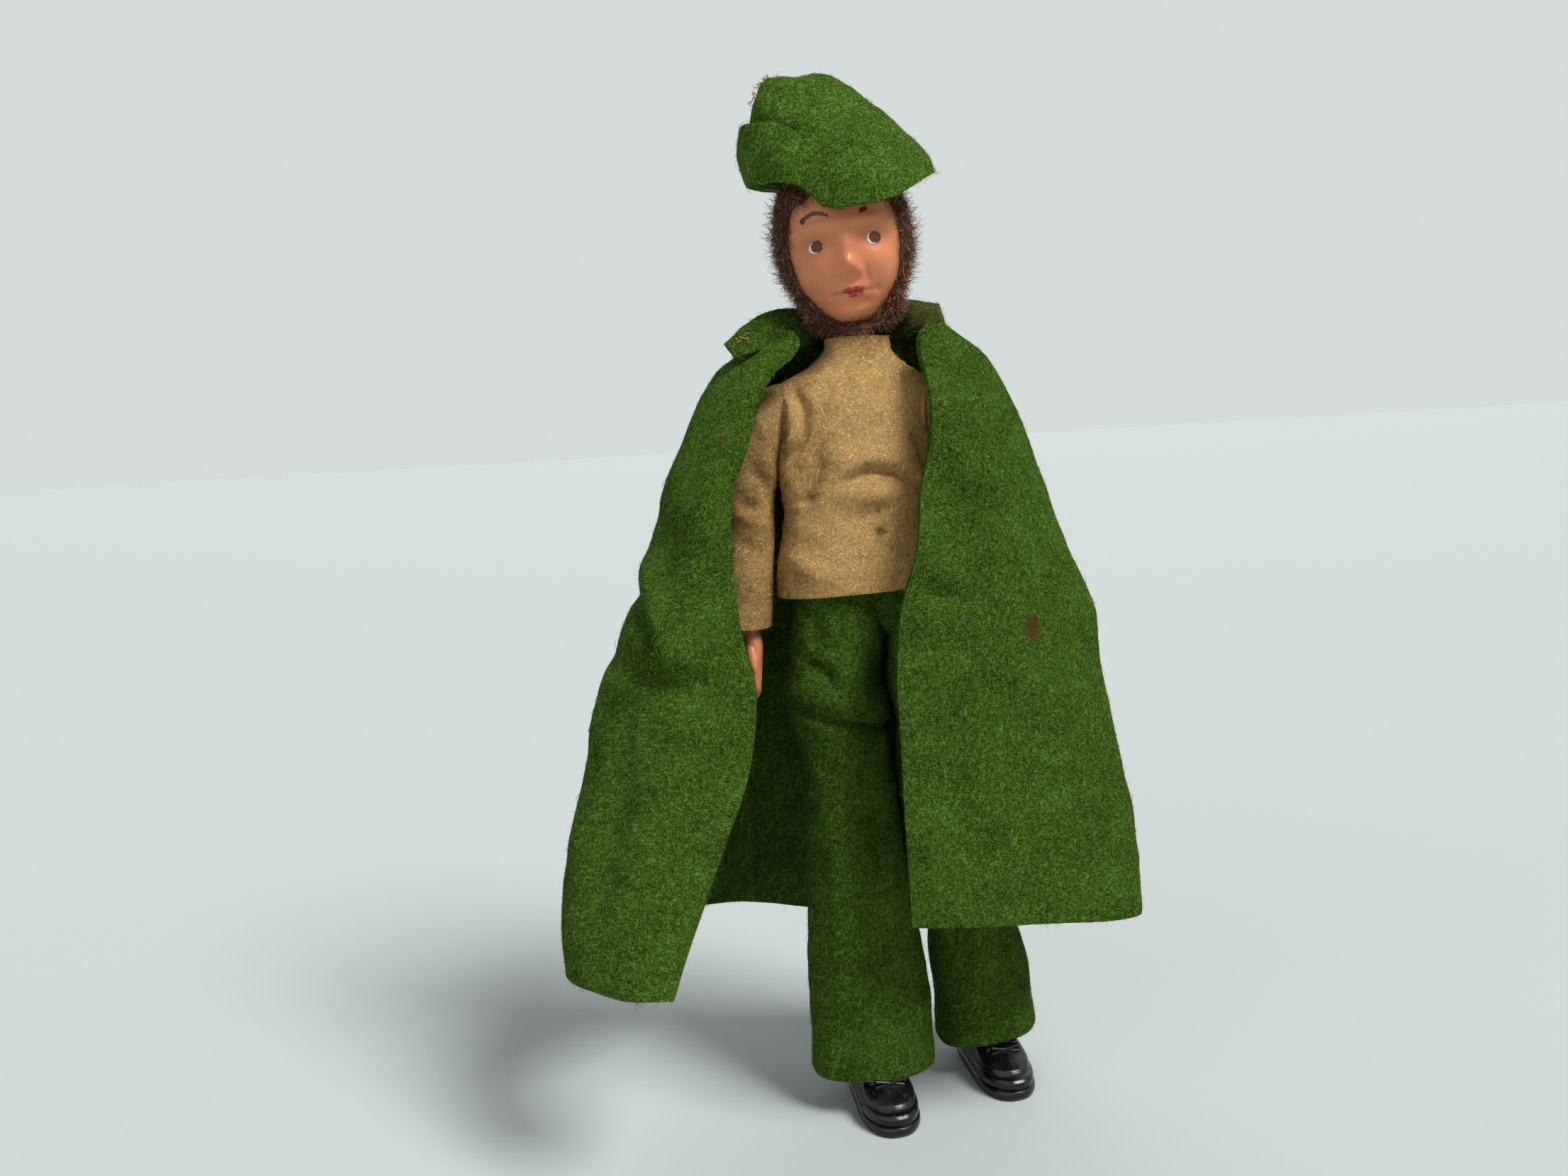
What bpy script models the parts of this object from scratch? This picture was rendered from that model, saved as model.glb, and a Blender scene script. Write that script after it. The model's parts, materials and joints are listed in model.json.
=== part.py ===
"""Bendy dolls' house man: a wire and padding figure with vinyl head, hands and boots, dressed in felt.

The doll faces -Y, its left arm is on +X, and it stands on z = 0. Every piece is built in the figure's own
frame and then moved so that the middle of its bounding box lies over the origin.
"""
import math

import bmesh
import bpy
from mathutils import Matrix, Vector

MM = 0.001

# Clearances and stock
GAP = 0.3 * MM
FELT = 0.95 * MM
WIRE_RADIUS = 0.5 * MM
BORE_RADIUS = 0.8 * MM
THREAD_RADIUS = 0.17 * MM

# Places of the joints on the right side and on the middle line
NECK_AT = (1.0 * MM, 0.5 * MM, 118.0 * MM)
SHOULDER_AT = (14.0 * MM, 0.0, 109.0 * MM)
ELBOW_AT = (16.7 * MM, 0.0, 93.0 * MM)
WRIST_AT = (18.3 * MM, -0.4 * MM, 78.6 * MM)
HIP_AT = {"r": (-5.2 * MM, 0.0, 77.0 * MM), "l": (5.6 * MM, 0.0, 77.0 * MM)}
KNEE_AT = {"r": (-3.5 * MM, 1.0 * MM, 43.2 * MM), "l": (11.6 * MM, 5.0 * MM, 43.2 * MM)}
ANKLE_AT = {"r": (-1.9 * MM, 2.2 * MM, 8.5 * MM), "l": (17.2 * MM, 10.8 * MM, 8.5 * MM)}

# Padded body
JOINT_PAD_RADIUS = 2.5 * MM
HIP_PAD_RADIUS = 3.1 * MM
ARM_RADIUS = 2.0 * MM
FOREARM_RADIUS = 1.9 * MM
THIGH_RADIUS = 3.1 * MM
SHIN_RADIUS = 2.9 * MM
CONE_START = 1.9 * MM
CONE_SLOPE_SHARE = 0.60
CORE_TOP = 113.2 * MM
CORE_HALF_WIDTH = 9.2 * MM
CORE_HALF_DEPTH = 5.3 * MM
NECK_RADIUS = 2.9 * MM
NECK_BOTTOM = 114.6 * MM
SHOULDER_WIRE_BACK = 2.1 * MM

# Jumper
CHEST_HALF_WIDTH = 11.9 * MM
CHEST_HALF_DEPTH = 7.1 * MM
JUMPER_HEM = 82.2 * MM
JUMPER_TOP = 114.6 * MM
NECK_BAND_TOP = 119.9 * MM
NECK_BAND_HALF_WIDTH = 4.9 * MM
ARMHOLE_HALF_HEIGHT = 5.6 * MM
ARMHOLE_HALF_DEPTH = 5.4 * MM
ARMHOLE_RADIUS = 4.0 * MM
SLEEVE_HALF_WIDTH = 3.95 * MM
SLEEVE_HALF_DEPTH = 4.5 * MM
CUFF_HALF_WIDTH = 4.2 * MM
CUFF_DROP = 0.8 * MM

# Trousers
WAIST_TOP = 86.0 * MM
CROTCH_UNDER_HIP = 2.2 * MM
SEAT_HALF_WIDTH = 10.9 * MM
SEAT_HALF_DEPTH = 6.8 * MM
TROUSER_HEM = 6.3 * MM
LEG_HALF_WIDTH = {"r": 9.9 * MM, "l": 8.15 * MM}
LEG_HALF_DEPTH = {"r": 8.6 * MM, "l": 8.7 * MM}
LEG_TOP_AT = {"r": (-5.4 * MM, 0.0), "l": (5.7 * MM, 0.2 * MM)}
LEG_HEM_AT = {"r": (-1.95 * MM, 1.0 * MM), "l": (17.3 * MM, 10.1 * MM)}
HEM_RISE = {"r": 0.5 * MM, "l": 1.4 * MM}

# Head, in its own frame with the neck joint at the origin
HEAD_HALF_WIDTH = 9.3 * MM
HEAD_HALF_DEPTH = 10.2 * MM
HEAD_HALF_HEIGHT = 13.2 * MM
HEAD_MIDDLE = 16.6 * MM
HEAD_SIDE = 0.5 * MM
HEAD_UNDERSIDE = 4.4 * MM
HEAD_TILT = math.radians(-6.2)
HEAD_YAW = math.radians(-3.0)
HAIR = 2.5 * MM
BEARD = 1.2 * MM

# Cap, in the head's frame
CAP_LEFT = 11.0 * MM
CAP_RIGHT = 15.3 * MM
CAP_HALF_DEPTH = 12.8 * MM
CAP_EDGE = 19.5 * MM
CAP_HEIGHT = 21.2 * MM
CAP_RIDGE_LEFT = 9.2 * MM
CAP_RIDGE_RIGHT = 15.1 * MM
CAP_RIDGE_HALF = 0.9 * MM
BRIM_HEIGHT = 8.3 * MM
BRIM_FLARE = 0.5 * MM

# Cape
CAPE_WIDE = 46.0 * MM
CAPE_DEEP = 29.0 * MM
CAPE_TOP = 121.0 * MM
CAPE_DROP = 89.0 * MM
CAPE_FOLD = 1.5 * MM
CAPE_ELBOW_BULGE = 2.6 * MM
COLLAR_STAND = 2.6 * MM
COLLAR_FALL_LEFT = 5.0 * MM
COLLAR_FALL_RIGHT = 1.8 * MM

# Hands and boots
HAND_LONG = 12.0 * MM
HAND_HALF_WIDTH = 2.9 * MM
HAND_HALF_THICK = 1.45 * MM
THUMB_RADIUS = 0.75 * MM
BOOT_LONG = 22.0 * MM
BOOT_HALF_WIDTH = 5.25 * MM
BOOT_TALL = 11.8 * MM
BOOT_HEEL_BACK = 6.9 * MM
LACE_RADIUS = 0.45 * MM
BOOT_YAW = {"r": math.radians(10.5), "l": math.radians(12.0)}

SIDES = ("r", "l")
SHARP_ANGLE = math.radians(50)

# Shares: rows of height, half width, half depth and, where given, shift of the middle
CORE_SHARES = ((0.0, 0.84, 0.84), (0.06, 0.88, 0.87), (0.2, 0.88, 0.87), (0.4, 0.94, 0.98),
               (0.62, 0.98, 1.0), (0.8, 1.0, 0.98), (0.93, 0.84, 0.84), (1.0, 0.5, 0.6))
JUMPER_SHARES = ((0.0, 1.10, 1.12), (0.06, 1.09, 1.12), (0.17, 1.05, 1.08), (0.30, 0.985, 1.0),
                 (0.37, 0.95, 0.97), (0.45, 0.97, 1.0), (0.68, 0.985, 1.0), (0.80, 0.975, 0.96),
                 (0.89, 0.92, 0.88), (0.95, 0.74, 0.78), (1.0, 0.53, 0.70))
SEAT_SHARES = ((0.0, 1.0, 1.0), (0.35, 0.98, 0.98), (0.7, 0.96, 0.93), (1.0, 0.92, 0.90))
NECK_BAND_SHARES = ((0.0, 1.2, 1.02), (0.3, 1.08, 0.98), (0.7, 1.0, 0.95), (1.0, 1.0, 0.95))
PEG_SHARE = 0.55
HAND_SQUARE_SHARE = 2.4
CORE_SQUARE_SHARE = 2.3
JUMPER_SQUARE_SHARE = 2.25
TROUSER_SQUARE_SHARE = 2.2
HAND_SHARES = ((-0.05, 0.0, 0.6, 0.3), (0.06, 0.0, 1.0, 0.55), (0.16, 0.0, 1.05, 0.66), (0.34, 0.1, 1.0, 0.98), (0.55, 0.15, 0.95, 1.0),
               (0.74, 0.2, 0.8, 0.9), (0.9, 0.28, 0.6, 0.66), (1.0, 0.34, 0.3, 0.3))

# Trouser legs: height from knee to end, share of the way to the hem's middle, half width, half depth
THIGH_CLOTH_SHARES = ((0.0, 0.0, 0.56, 0.78), (0.2, 0.09, 0.59, 0.81), (0.3, 0.14, 0.585, 0.78),
                      (0.38, 0.18, 0.62, 0.82), (0.62, 0.33, 0.68, 0.85), (0.84, 0.48, 0.735, 0.875),
                      (1.0, 0.58, 0.78, 0.89))
SHIN_CLOTH_SHARES = ((0.0, 0.58, 0.78, 0.89), (0.22, 0.72, 0.83, 0.92), (0.45, 0.85, 0.885, 0.95),
                     (0.72, 0.94, 0.94, 0.98), (1.0, 1.0, 1.0, 1.0))

# Boot, rows of height, toe reach, heel reach and half width
BOOT_SHARES = ((0.0, 0.985, 0.98, 0.95), (0.015, 1.0, 1.0, 0.99), (0.125, 1.0, 1.0, 1.0), (0.135, 0.96, 0.95, 0.92),
               (0.22, 0.975, 0.96, 0.95), (0.30, 0.94, 0.955, 0.94), (0.36, 0.86, 0.95, 0.92), (0.39, 0.74, 0.945, 0.90),
               (0.43, 0.70, 0.94, 0.88), (0.50, 0.56, 0.93, 0.85), (0.58, 0.45, 0.92, 0.80), (0.70, 0.36, 0.90, 0.77),
               (0.95, 0.32, 0.86, 0.76), (1.0, 0.30, 0.82, 0.72))
LACE_SHARES = ((0.475, 0.60), (0.55, 0.49), (0.64, 0.41))

# Face: across, up, reach forward, spread across and spread up
FACE_SHARES = ((0.0, -0.40, 0.20, 0.125, 0.10), (0.0, -0.19, 0.11, 0.10, 0.17), (-0.15, -0.47, 0.05, 0.08, 0.06),
               (0.15, -0.47, 0.05, 0.08, 0.06), (-0.43, -0.131, -0.075, 0.21, 0.095),
               (0.43, -0.131, -0.075, 0.21, 0.095), (-0.43, -0.131, 0.04, 0.12, 0.05),
               (0.43, -0.131, 0.04, 0.12, 0.05), (-0.40, 0.07, 0.035, 0.28, 0.06), (0.40, 0.07, 0.035, 0.28, 0.06),
               (-0.54, -0.42, 0.05, 0.23, 0.17), (0.54, -0.42, 0.05, 0.23, 0.17), (0.0, -0.605, 0.055, 0.17, 0.035),
               (0.0, -0.665, 0.045, 0.14, 0.035), (0.0, -0.75, -0.03, 0.2, 0.04), (0.0, -0.88, 0.08, 0.26, 0.09))
JAW_NARROW_SHARE = 0.08

# Cap: edge height by turn from the front, and ridge height by place across
CAP_EDGE_TURNS = (-180, -130, -90, -59, -41, -30, -25, -19, -5, 16, 30, 53, 70, 90, 130, 180)
CAP_EDGE_SHARES = (0.27, 0.26, 0.24, 0.245, 0.21, 0.155, 0.085, 0.02, 0.0, 0.01, 0.033, 0.118, 0.155, 0.20, 0.24, 0.27)
CAP_RIDGE_PLACES_SHARES = (-1.0, -0.86, -0.68, -0.43, -0.2, 0.01, 0.22, 0.51, 0.71, 0.88, 0.97, 1.0)
CAP_RIDGE_SHARES = (0.86, 0.975, 1.0, 0.985, 0.97, 0.92, 0.816, 0.65, 0.495, 0.385, 0.30, 0.235)
BRIM_TURNS = (-6, -14, -22, -30, -38, -47, -65, -90, -140, -200, -235)
BRIM_SHARES = (0.10, 0.42, 0.62, 0.75, 0.87, 0.95, 1.0, 1.0, 0.95, 0.7, 0.25)

# Cape: share of the drop, then left outer, left edge, right edge, right outer across,
# then back, left edge, left outer, right edge and right outer in depth
CAPE_SHARES = (
    (0.0, -0.29, -0.18, 0.24, 0.29, 0.32, -0.24, 0.0, -0.24, 0.0),
    (0.03, -0.345, -0.21, 0.23, 0.37, 0.315, -0.26, 0.0, -0.27, 0.0),
    (0.06, -0.42, -0.25, 0.222, 0.42, 0.31, -0.28, 0.0, -0.29, 0.0),
    (0.125, -0.505, -0.32, 0.202, 0.505, 0.30, -0.33, -0.03, -0.345, 0.0),
    (0.19, -0.57, -0.365, 0.202, 0.555, 0.295, -0.38, -0.07, -0.38, -0.03),
    (0.27, -0.635, -0.413, 0.18, 0.605, 0.30, -0.43, -0.10, -0.41, -0.07),
    (0.37, -0.685, -0.407, 0.154, 0.66, 0.315, -0.48, -0.14, -0.45, -0.10),
    (0.47, -0.75, -0.385, 0.094, 0.72, 0.35, -0.53, -0.17, -0.48, -0.14),
    (0.57, -0.86, -0.352, 0.074, 0.75, 0.41, -0.59, -0.21, -0.50, -0.17),
    (0.685, -0.905, -0.398, 0.074, 0.78, 0.47, -0.67, -0.29, -0.52, -0.24),
    (0.80, -0.96, -0.49, 0.074, 0.80, 0.55, -0.78, -0.38, -0.535, -0.31),
    (0.91, -1.0, -0.585, 0.078, 0.815, 0.63, -0.90, -0.48, -0.55, -0.38),
    (1.0, -0.98, -0.655, 0.08, 0.81, 0.70, -1.0, -0.586, -0.55, -0.41))
CAPE_HEM_PLACES_SHARES = (0.0, 0.2, 0.5, 0.8, 1.0)
CAPE_HEM_SHARES = (1.012, 1.005, 1.10, 0.99, 0.975)
CAPE_CORNER_SHARE = 0.68
COLLAR_MARKS_SHARES = (0.0, 1 / 6, 2 / 6, 3 / 6, 4 / 6, 1.0)
COLLAR_RISE_SHARES = (0.0, 0.6, 1.0, 0.6, 0.0, 0.0)
COLLAR_SIDE_SHARES = (-1.0, -1.0, 0.0, 1.0, 1.0, 1.0)
COLLAR_START_SHARE = 0.075
COLLAR_END_SHARE = 0.925


def clear_scene():
    """Remove the objects that are there at the start."""
    for item in list(bpy.data.objects):
        bpy.data.objects.remove(item, do_unlink=True)


def material(name, colour, roughness, metallic=0.0):
    """Make a Principled material, or find the one already made."""
    found = bpy.data.materials.get(name)
    if found:
        return found
    made = bpy.data.materials.new(name)
    made.use_nodes = True
    shader = made.node_tree.nodes["Principled BSDF"]
    shader.inputs["Base Color"].default_value = (*colour, 1.0)
    shader.inputs["Roughness"].default_value = roughness
    shader.inputs["Metallic"].default_value = metallic
    return made


def padding():
    return material("limb_padding", (0.62, 0.55, 0.45), 0.9)


def wire():
    return material("armature_wire", (0.45, 0.44, 0.42), 0.35, 1.0)


def green(name):
    return material(name, (0.062, 0.165, 0.028), 0.95)


def tan(name):
    return material(name, (0.37, 0.215, 0.095), 0.95)


def vinyl(name):
    return material(name, (0.52, 0.225, 0.115), 0.35)


def finish_object(name, mesh_work, look, origin=(0.0, 0.0, 0.0), smooth=True):
    """Turn a bmesh in the figure's frame into a named object whose origin is the given place."""
    bmesh.ops.recalc_face_normals(mesh_work, faces=mesh_work.faces)
    bmesh.ops.translate(mesh_work, verts=mesh_work.verts, vec=-Vector(origin))
    mesh = bpy.data.meshes.new(name)
    mesh_work.to_mesh(mesh)
    mesh_work.free()
    mesh.materials.append(look)
    for face in mesh.polygons:
        face.use_smooth = smooth
    mesh.set_sharp_from_angle(angle=SHARP_ANGLE)
    item = bpy.data.objects.new(name, mesh)
    item.location = origin
    bpy.context.collection.objects.link(item)
    return item


def steps(count):
    return [index / count for index in range(count + 1)]


def between(table_x, table_y, x):
    """Read a table by straight lines between its points."""
    if x <= table_x[0]:
        return table_y[0]
    for index in range(1, len(table_x)):
        if x <= table_x[index]:
            part = (x - table_x[index - 1]) / (table_x[index] - table_x[index - 1])
            return table_y[index - 1] * (1 - part) + table_y[index] * part
    return table_y[-1]


def smooth_between(table_x, table_y, x):
    """Read a table by a curve that passes through its points."""
    count = len(table_x)
    if x <= table_x[0]:
        return table_y[0]
    if x >= table_x[-1]:
        return table_y[-1]
    index = next(i for i in range(1, count) if x <= table_x[i])
    width = table_x[index] - table_x[index - 1]
    part = (x - table_x[index - 1]) / width

    def slope(i):
        low, high = max(i - 1, 0), min(i + 1, count - 1)
        return (table_y[high] - table_y[low]) / (table_x[high] - table_x[low]) * width

    a, b = table_y[index - 1], table_y[index]
    square, cube = part * part, part ** 3
    return ((2 * cube - 3 * square + 1) * a + (cube - 2 * square + part) * slope(index - 1)
            + (3 * square - 2 * cube) * b + (cube - square) * slope(index))


def ellipse(centre, half_width, half_depth, count, squareness=2.0):
    """Points of a level ring, a plain ellipse at squareness 2 and boxier above it."""
    points = []
    for index in range(count):
        turn = 2 * math.pi * index / count
        c, s = math.cos(turn), math.sin(turn)
        x = math.copysign(abs(c) ** (2 / squareness), c) * half_width
        y = math.copysign(abs(s) ** (2 / squareness), s) * half_depth
        points.append(Vector(centre) + Vector((x, y, 0.0)))
    return points


def loft(rings, closed=False, cap_ends=True):
    """Bridge rings of points one after another into one closed body."""
    work = bmesh.new()
    loops = []
    for ring in rings:
        verts = [work.verts.new(point) for point in ring]
        edges = [work.edges.new((verts[i], verts[(i + 1) % len(verts)])) for i in range(len(verts))]
        loops.append((verts, edges))
    pairs = list(zip(loops, loops[1:]))
    if closed:
        pairs.append((loops[-1], loops[0]))
    for first, second in pairs:
        count = len(first[0])
        for i in range(count):
            j = (i + 1) % count
            work.faces.new((first[0][i], first[0][j], second[0][j], second[0][i]))
    if cap_ends and not closed:
        for verts, edges in (loops[0], loops[-1]):
            bmesh.ops.contextual_create(work, geom=edges)
    return work


def shell(outer, inner):
    """A tube wall: up the outer rings and down the inner rings, joined at both ends."""
    return loft(list(outer) + list(reversed(list(inner))), closed=True)


def aligned_ring(centre, direction, radius, count):
    """Points of a round ring square to a direction."""
    turn = Vector(direction).to_track_quat("Z", "Y").to_matrix()
    points = []
    for index in range(count):
        angle = 2 * math.pi * index / count
        points.append(Vector(centre) + turn @ Vector((math.cos(angle), math.sin(angle), 0.0)) * radius)
    return points


def limb(name, start, end, radius, clear_start, clear_end, origin, count=10):
    """Padding wound round a limb's wire: a tapering tube with a bore, thin where the limb bends."""
    start, end = Vector(start), Vector(end)
    along = (end - start).normalized()
    length = (end - start).length
    first, last = clear_start, length - clear_end
    full = radius / CONE_SLOPE_SHARE
    rings = []
    places = (first, max(first, full), 0.5 * length, min(last, length - full), last)
    for place in places:
        near_end = min(place, length - place)
        size = min(radius, max(near_end * CONE_SLOPE_SHARE, BORE_RADIUS + GAP))
        rings.append((place, size))
    rings = [row for i, row in enumerate(rings) if i == 0 or row[0] - rings[i - 1][0] > GAP]
    outer = [aligned_ring(start + along * place, along, size, count) for place, size in rings]
    inner = [aligned_ring(start + along * place, along, BORE_RADIUS, count) for place, size in rings]
    return finish_object(name, shell(outer, inner), padding(), origin)


def straight_wire(name, start, end, cut_start, cut_end, origin, round_end=False):
    """A straight piece of the armature between two bends; a round end fills the bend itself."""
    start, end = Vector(start), Vector(end)
    along = (end - start).normalized()
    tips = (start + along * cut_start, end - along * cut_end)
    rings = [aligned_ring(tip, along, WIRE_RADIUS, 8) for tip in tips]
    if round_end:
        for angle in (30, 60, 80):
            turn = math.radians(angle)
            rings.append(aligned_ring(end + along * WIRE_RADIUS * math.sin(turn), along,
                                      WIRE_RADIUS * math.cos(turn), 8))
    return finish_object(name, loft(rings), wire(), origin)


def ball(name, centre, radius, origin):
    """A round wad of padding over a bend that turns two ways."""
    work = bmesh.new()
    bmesh.ops.create_uvsphere(work, u_segments=12, v_segments=8, radius=radius,
                              matrix=Matrix.Translation(centre))
    return finish_object(name, work, padding(), origin)


def cut_with(item, cutter):
    """Cut one object out of another with an exact Boolean that stays on the object."""
    change = item.modifiers.new("cut", "BOOLEAN")
    change.operation = "DIFFERENCE"
    change.solver = "EXACT"
    change.object = cutter
    cutter.hide_render = True
    cutter.display_type = "WIRE"


def cutter_rod(name, start, end, half_a, half_b, count=24):
    """An elliptical rod along X that cuts through a side."""
    rings = []
    for x in (start[0], end[0]):
        ring = []
        for index in range(count):
            turn = 2 * math.pi * index / count
            ring.append(Vector((x, start[1] + half_a * math.cos(turn), start[2] + half_b * math.sin(turn))))
        rings.append(ring)
    item = finish_object(name, loft(rings), padding())
    return item


def side_sign(side):
    """The way along X of one side of the figure."""
    return 1 if side == "l" else -1


def side_place(place, sign):
    """A joint's place on one side of the figure."""
    return Vector((place[0] * sign, place[1], place[2]))


def table_rings(shares, bottom, top, middle, half_width, half_depth, count, squareness=2.0, less=0.0):
    """Rings of a lofted form from rows of shares, smaller by a wall where one is given."""
    rings = []
    for height, wide, deep in shares:
        z = bottom + (top - bottom) * height
        rings.append(ellipse((middle[0], middle[1], z), half_width * wide - less, half_depth * deep - less,
                             count, squareness))
    return rings


def hip_heights():
    """Heights of the two hip joints."""
    return [HIP_AT[side][2] for side in SIDES]


def build_torso():
    """The wound core with the spine and shoulder wires in their bores."""
    core_bottom = max(hip_heights()) + HIP_PAD_RADIUS + 3 * GAP
    outer = table_rings(CORE_SHARES, core_bottom, CORE_TOP, (0.0, 0.0), CORE_HALF_WIDTH, CORE_HALF_DEPTH, 18,
                        CORE_SQUARE_SHARE)
    inner = []
    for ring in outer:
        inner.append(ellipse((NECK_AT[0], 0.0, ring[0].z), BORE_RADIUS, BORE_RADIUS, 18))
    core = finish_object("torso_core", shell(outer, inner), padding())
    bar_z = SHOULDER_AT[2]
    reach = CORE_HALF_WIDTH + GAP
    bore = (-reach, SHOULDER_WIRE_BACK, bar_z)
    cut_with(core, cutter_rod("shoulder_bore", bore, (reach, 0.0, 0.0), BORE_RADIUS, BORE_RADIUS, 14))
    bar_end = CORE_HALF_WIDTH - GAP
    spine_top = (NECK_AT[0], 0.0, CORE_TOP)
    straight_wire("armature_spine", (NECK_AT[0], 0.0, core_bottom), spine_top, GAP, GAP, (0.0, 0.0, 0.0))
    straight_wire("armature_shoulders", (-bar_end, SHOULDER_WIRE_BACK, bar_z),
                  (bar_end, SHOULDER_WIRE_BACK, bar_z), GAP, GAP, (0.0, 0.0, 0.0))
    rings = []
    for height, size in ((NECK_BOTTOM - NECK_AT[2], 0.92), (0.0, 1.0), (HEAD_UNDERSIDE - 1.2 * GAP, 1.0)):
        rings.append(ellipse((0.0, 0.0, height), NECK_RADIUS * size, NECK_RADIUS * size, 16))
    place_on_neck("neck_stalk", loft(rings), vinyl("neck_vinyl"))


def build_arm(side):
    """Padding, wires and hand of one arm."""
    sign = side_sign(side)
    shoulder, elbow, wrist = (side_place(place, sign) for place in (SHOULDER_AT, ELBOW_AT, WRIST_AT))
    ball("shoulder_padding_" + side, shoulder, JOINT_PAD_RADIUS, shoulder)
    clear = JOINT_PAD_RADIUS + GAP
    limb("upper_arm_padding_" + side, shoulder, elbow, ARM_RADIUS, clear, CONE_START, shoulder)
    straight_wire("armature_upper_arm_" + side, shoulder, elbow, clear, 0.0, shoulder, True)
    limb("forearm_padding_" + side, elbow, wrist, FOREARM_RADIUS, CONE_START, CONE_START, elbow)
    bend = WIRE_RADIUS + GAP
    straight_wire("armature_forearm_" + side, elbow, wrist, bend, CONE_START, elbow)
    build_hand(side, wrist, sign)


def build_hand(side, wrist, sign):
    """A flat moulded hand with a thumb in front, hanging from the wrist."""
    peg = HAND_HALF_THICK * PEG_SHARE
    rings = [ellipse(wrist + Vector((0.0, 0.0, CONE_START - GAP)), peg, peg, 16)]
    for drop, forward, thick, wide in HAND_SHARES:
        centre = (wrist.x - sign * HAND_HALF_THICK * 0.3 * drop, wrist.y - HAND_HALF_WIDTH * forward,
                  wrist.z - HAND_LONG * drop)
        rings.append(ellipse(centre, HAND_HALF_THICK * thick, HAND_HALF_WIDTH * wide, 16,
                             HAND_SQUARE_SHARE))
    hand = finish_object("hand_" + side, loft(rings), vinyl("hand_vinyl"), wrist)
    thumb_root = Vector((wrist.x - sign * HAND_HALF_THICK * 0.5, wrist.y - HAND_HALF_WIDTH * 0.6,
                         wrist.z - HAND_LONG * 0.26))
    thumb_tip = Vector((wrist.x - sign * HAND_HALF_THICK * 0.9, wrist.y - HAND_HALF_WIDTH * 1.35,
                        wrist.z - HAND_LONG * 0.6))
    along = (thumb_tip - thumb_root).normalized()
    places = ((0.0, 0.9), (0.5, 1.0), (0.85, 0.85), (1.0, 0.4))
    thumb_rings = [aligned_ring(thumb_root.lerp(thumb_tip, place), along, THUMB_RADIUS * size, 10)
                   for place, size in places]
    thumb = finish_object("thumb_form_" + side, loft(thumb_rings), vinyl("hand_vinyl"))
    join = hand.modifiers.new("thumb", "BOOLEAN")
    join.operation = "UNION"
    join.solver = "EXACT"
    join.object = thumb
    thumb.hide_render = True
    thumb.display_type = "WIRE"


def build_leg(side):
    """Padding and wires of one leg."""
    hip, knee, ankle = Vector(HIP_AT[side]), Vector(KNEE_AT[side]), Vector(ANKLE_AT[side])
    ball("hip_padding_" + side, hip, HIP_PAD_RADIUS, hip)
    clear = HIP_PAD_RADIUS + GAP
    limb("thigh_padding_" + side, hip, knee, THIGH_RADIUS, clear, CONE_START, hip)
    straight_wire("armature_thigh_" + side, hip, knee, clear, 0.0, hip, True)
    boot_clear = BOOT_TALL - ankle.z + BOOT_HALF_WIDTH * 0.36
    limb("shin_padding_" + side, knee, ankle, SHIN_RADIUS, CONE_START, boot_clear, knee)
    wire_clear = BOOT_TALL - ankle.z + 2 * GAP
    straight_wire("armature_shin_" + side, knee, ankle, WIRE_RADIUS + GAP, wire_clear, knee)


def build_boot(side):
    """A moulded ankle boot: sole with its step, toe cap, instep and laces in one piece."""
    ankle = Vector(ANKLE_AT[side])
    turn = Matrix.Rotation(BOOT_YAW[side], 3, "Z")
    toe_reach = BOOT_LONG - BOOT_HEEL_BACK
    count = 24
    rings = []
    for height, toe, heel, wide in BOOT_SHARES:
        ring = []
        front, back = -toe_reach * toe, BOOT_HEEL_BACK * heel
        middle, half = 0.5 * (front + back), 0.5 * (back - front)
        for index in range(count):
            angle = 2 * math.pi * index / count
            c, s = math.cos(angle), math.sin(angle)
            y = middle + half * math.copysign(abs(s) ** 0.85, s)
            heel_part = max(0.0, min(1.0, (y + toe_reach) / BOOT_LONG))
            ball_width = 1.0 - 0.22 * math.sin(math.pi * min(1.0, heel_part * 1.0)) ** 2 * heel_part
            x = BOOT_HALF_WIDTH * wide * (ball_width - 0.12 * heel_part) * math.copysign(abs(c) ** 0.85, c)
            ring.append(ankle + turn @ Vector((x, y, 0.0)) + Vector((0.0, 0.0, BOOT_TALL * height - ankle.z)))
        rings.append(ring)
    boot = finish_object("boot_" + side, loft(rings), material("boot_vinyl", (0.012, 0.011, 0.012), 0.22), ankle)
    for number, (height, toe) in enumerate(LACE_SHARES):
        centre = ankle + turn @ Vector((0.0, -toe_reach * toe, 0.0))
        centre.z = BOOT_TALL * height
        half = BOOT_HALF_WIDTH * 0.42
        rows = [aligned_ring(centre + turn @ Vector((half * place, 0.0, 0.0)), turn @ Vector((1.0, 0.0, 0.0)),
                             LACE_RADIUS * size, 8) for place, size in ((-1, 0.6), (-0.8, 1.0), (0.8, 1.0), (1, 0.6))]
        lace = finish_object("lace_form_%s_%d" % (side, number), loft(rows), padding())
        join = boot.modifiers.new("lace", "BOOLEAN")
        join.operation = "UNION"
        join.solver = "EXACT"
        join.object = lace
        lace.hide_render = True
        lace.display_type = "WIRE"


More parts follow.
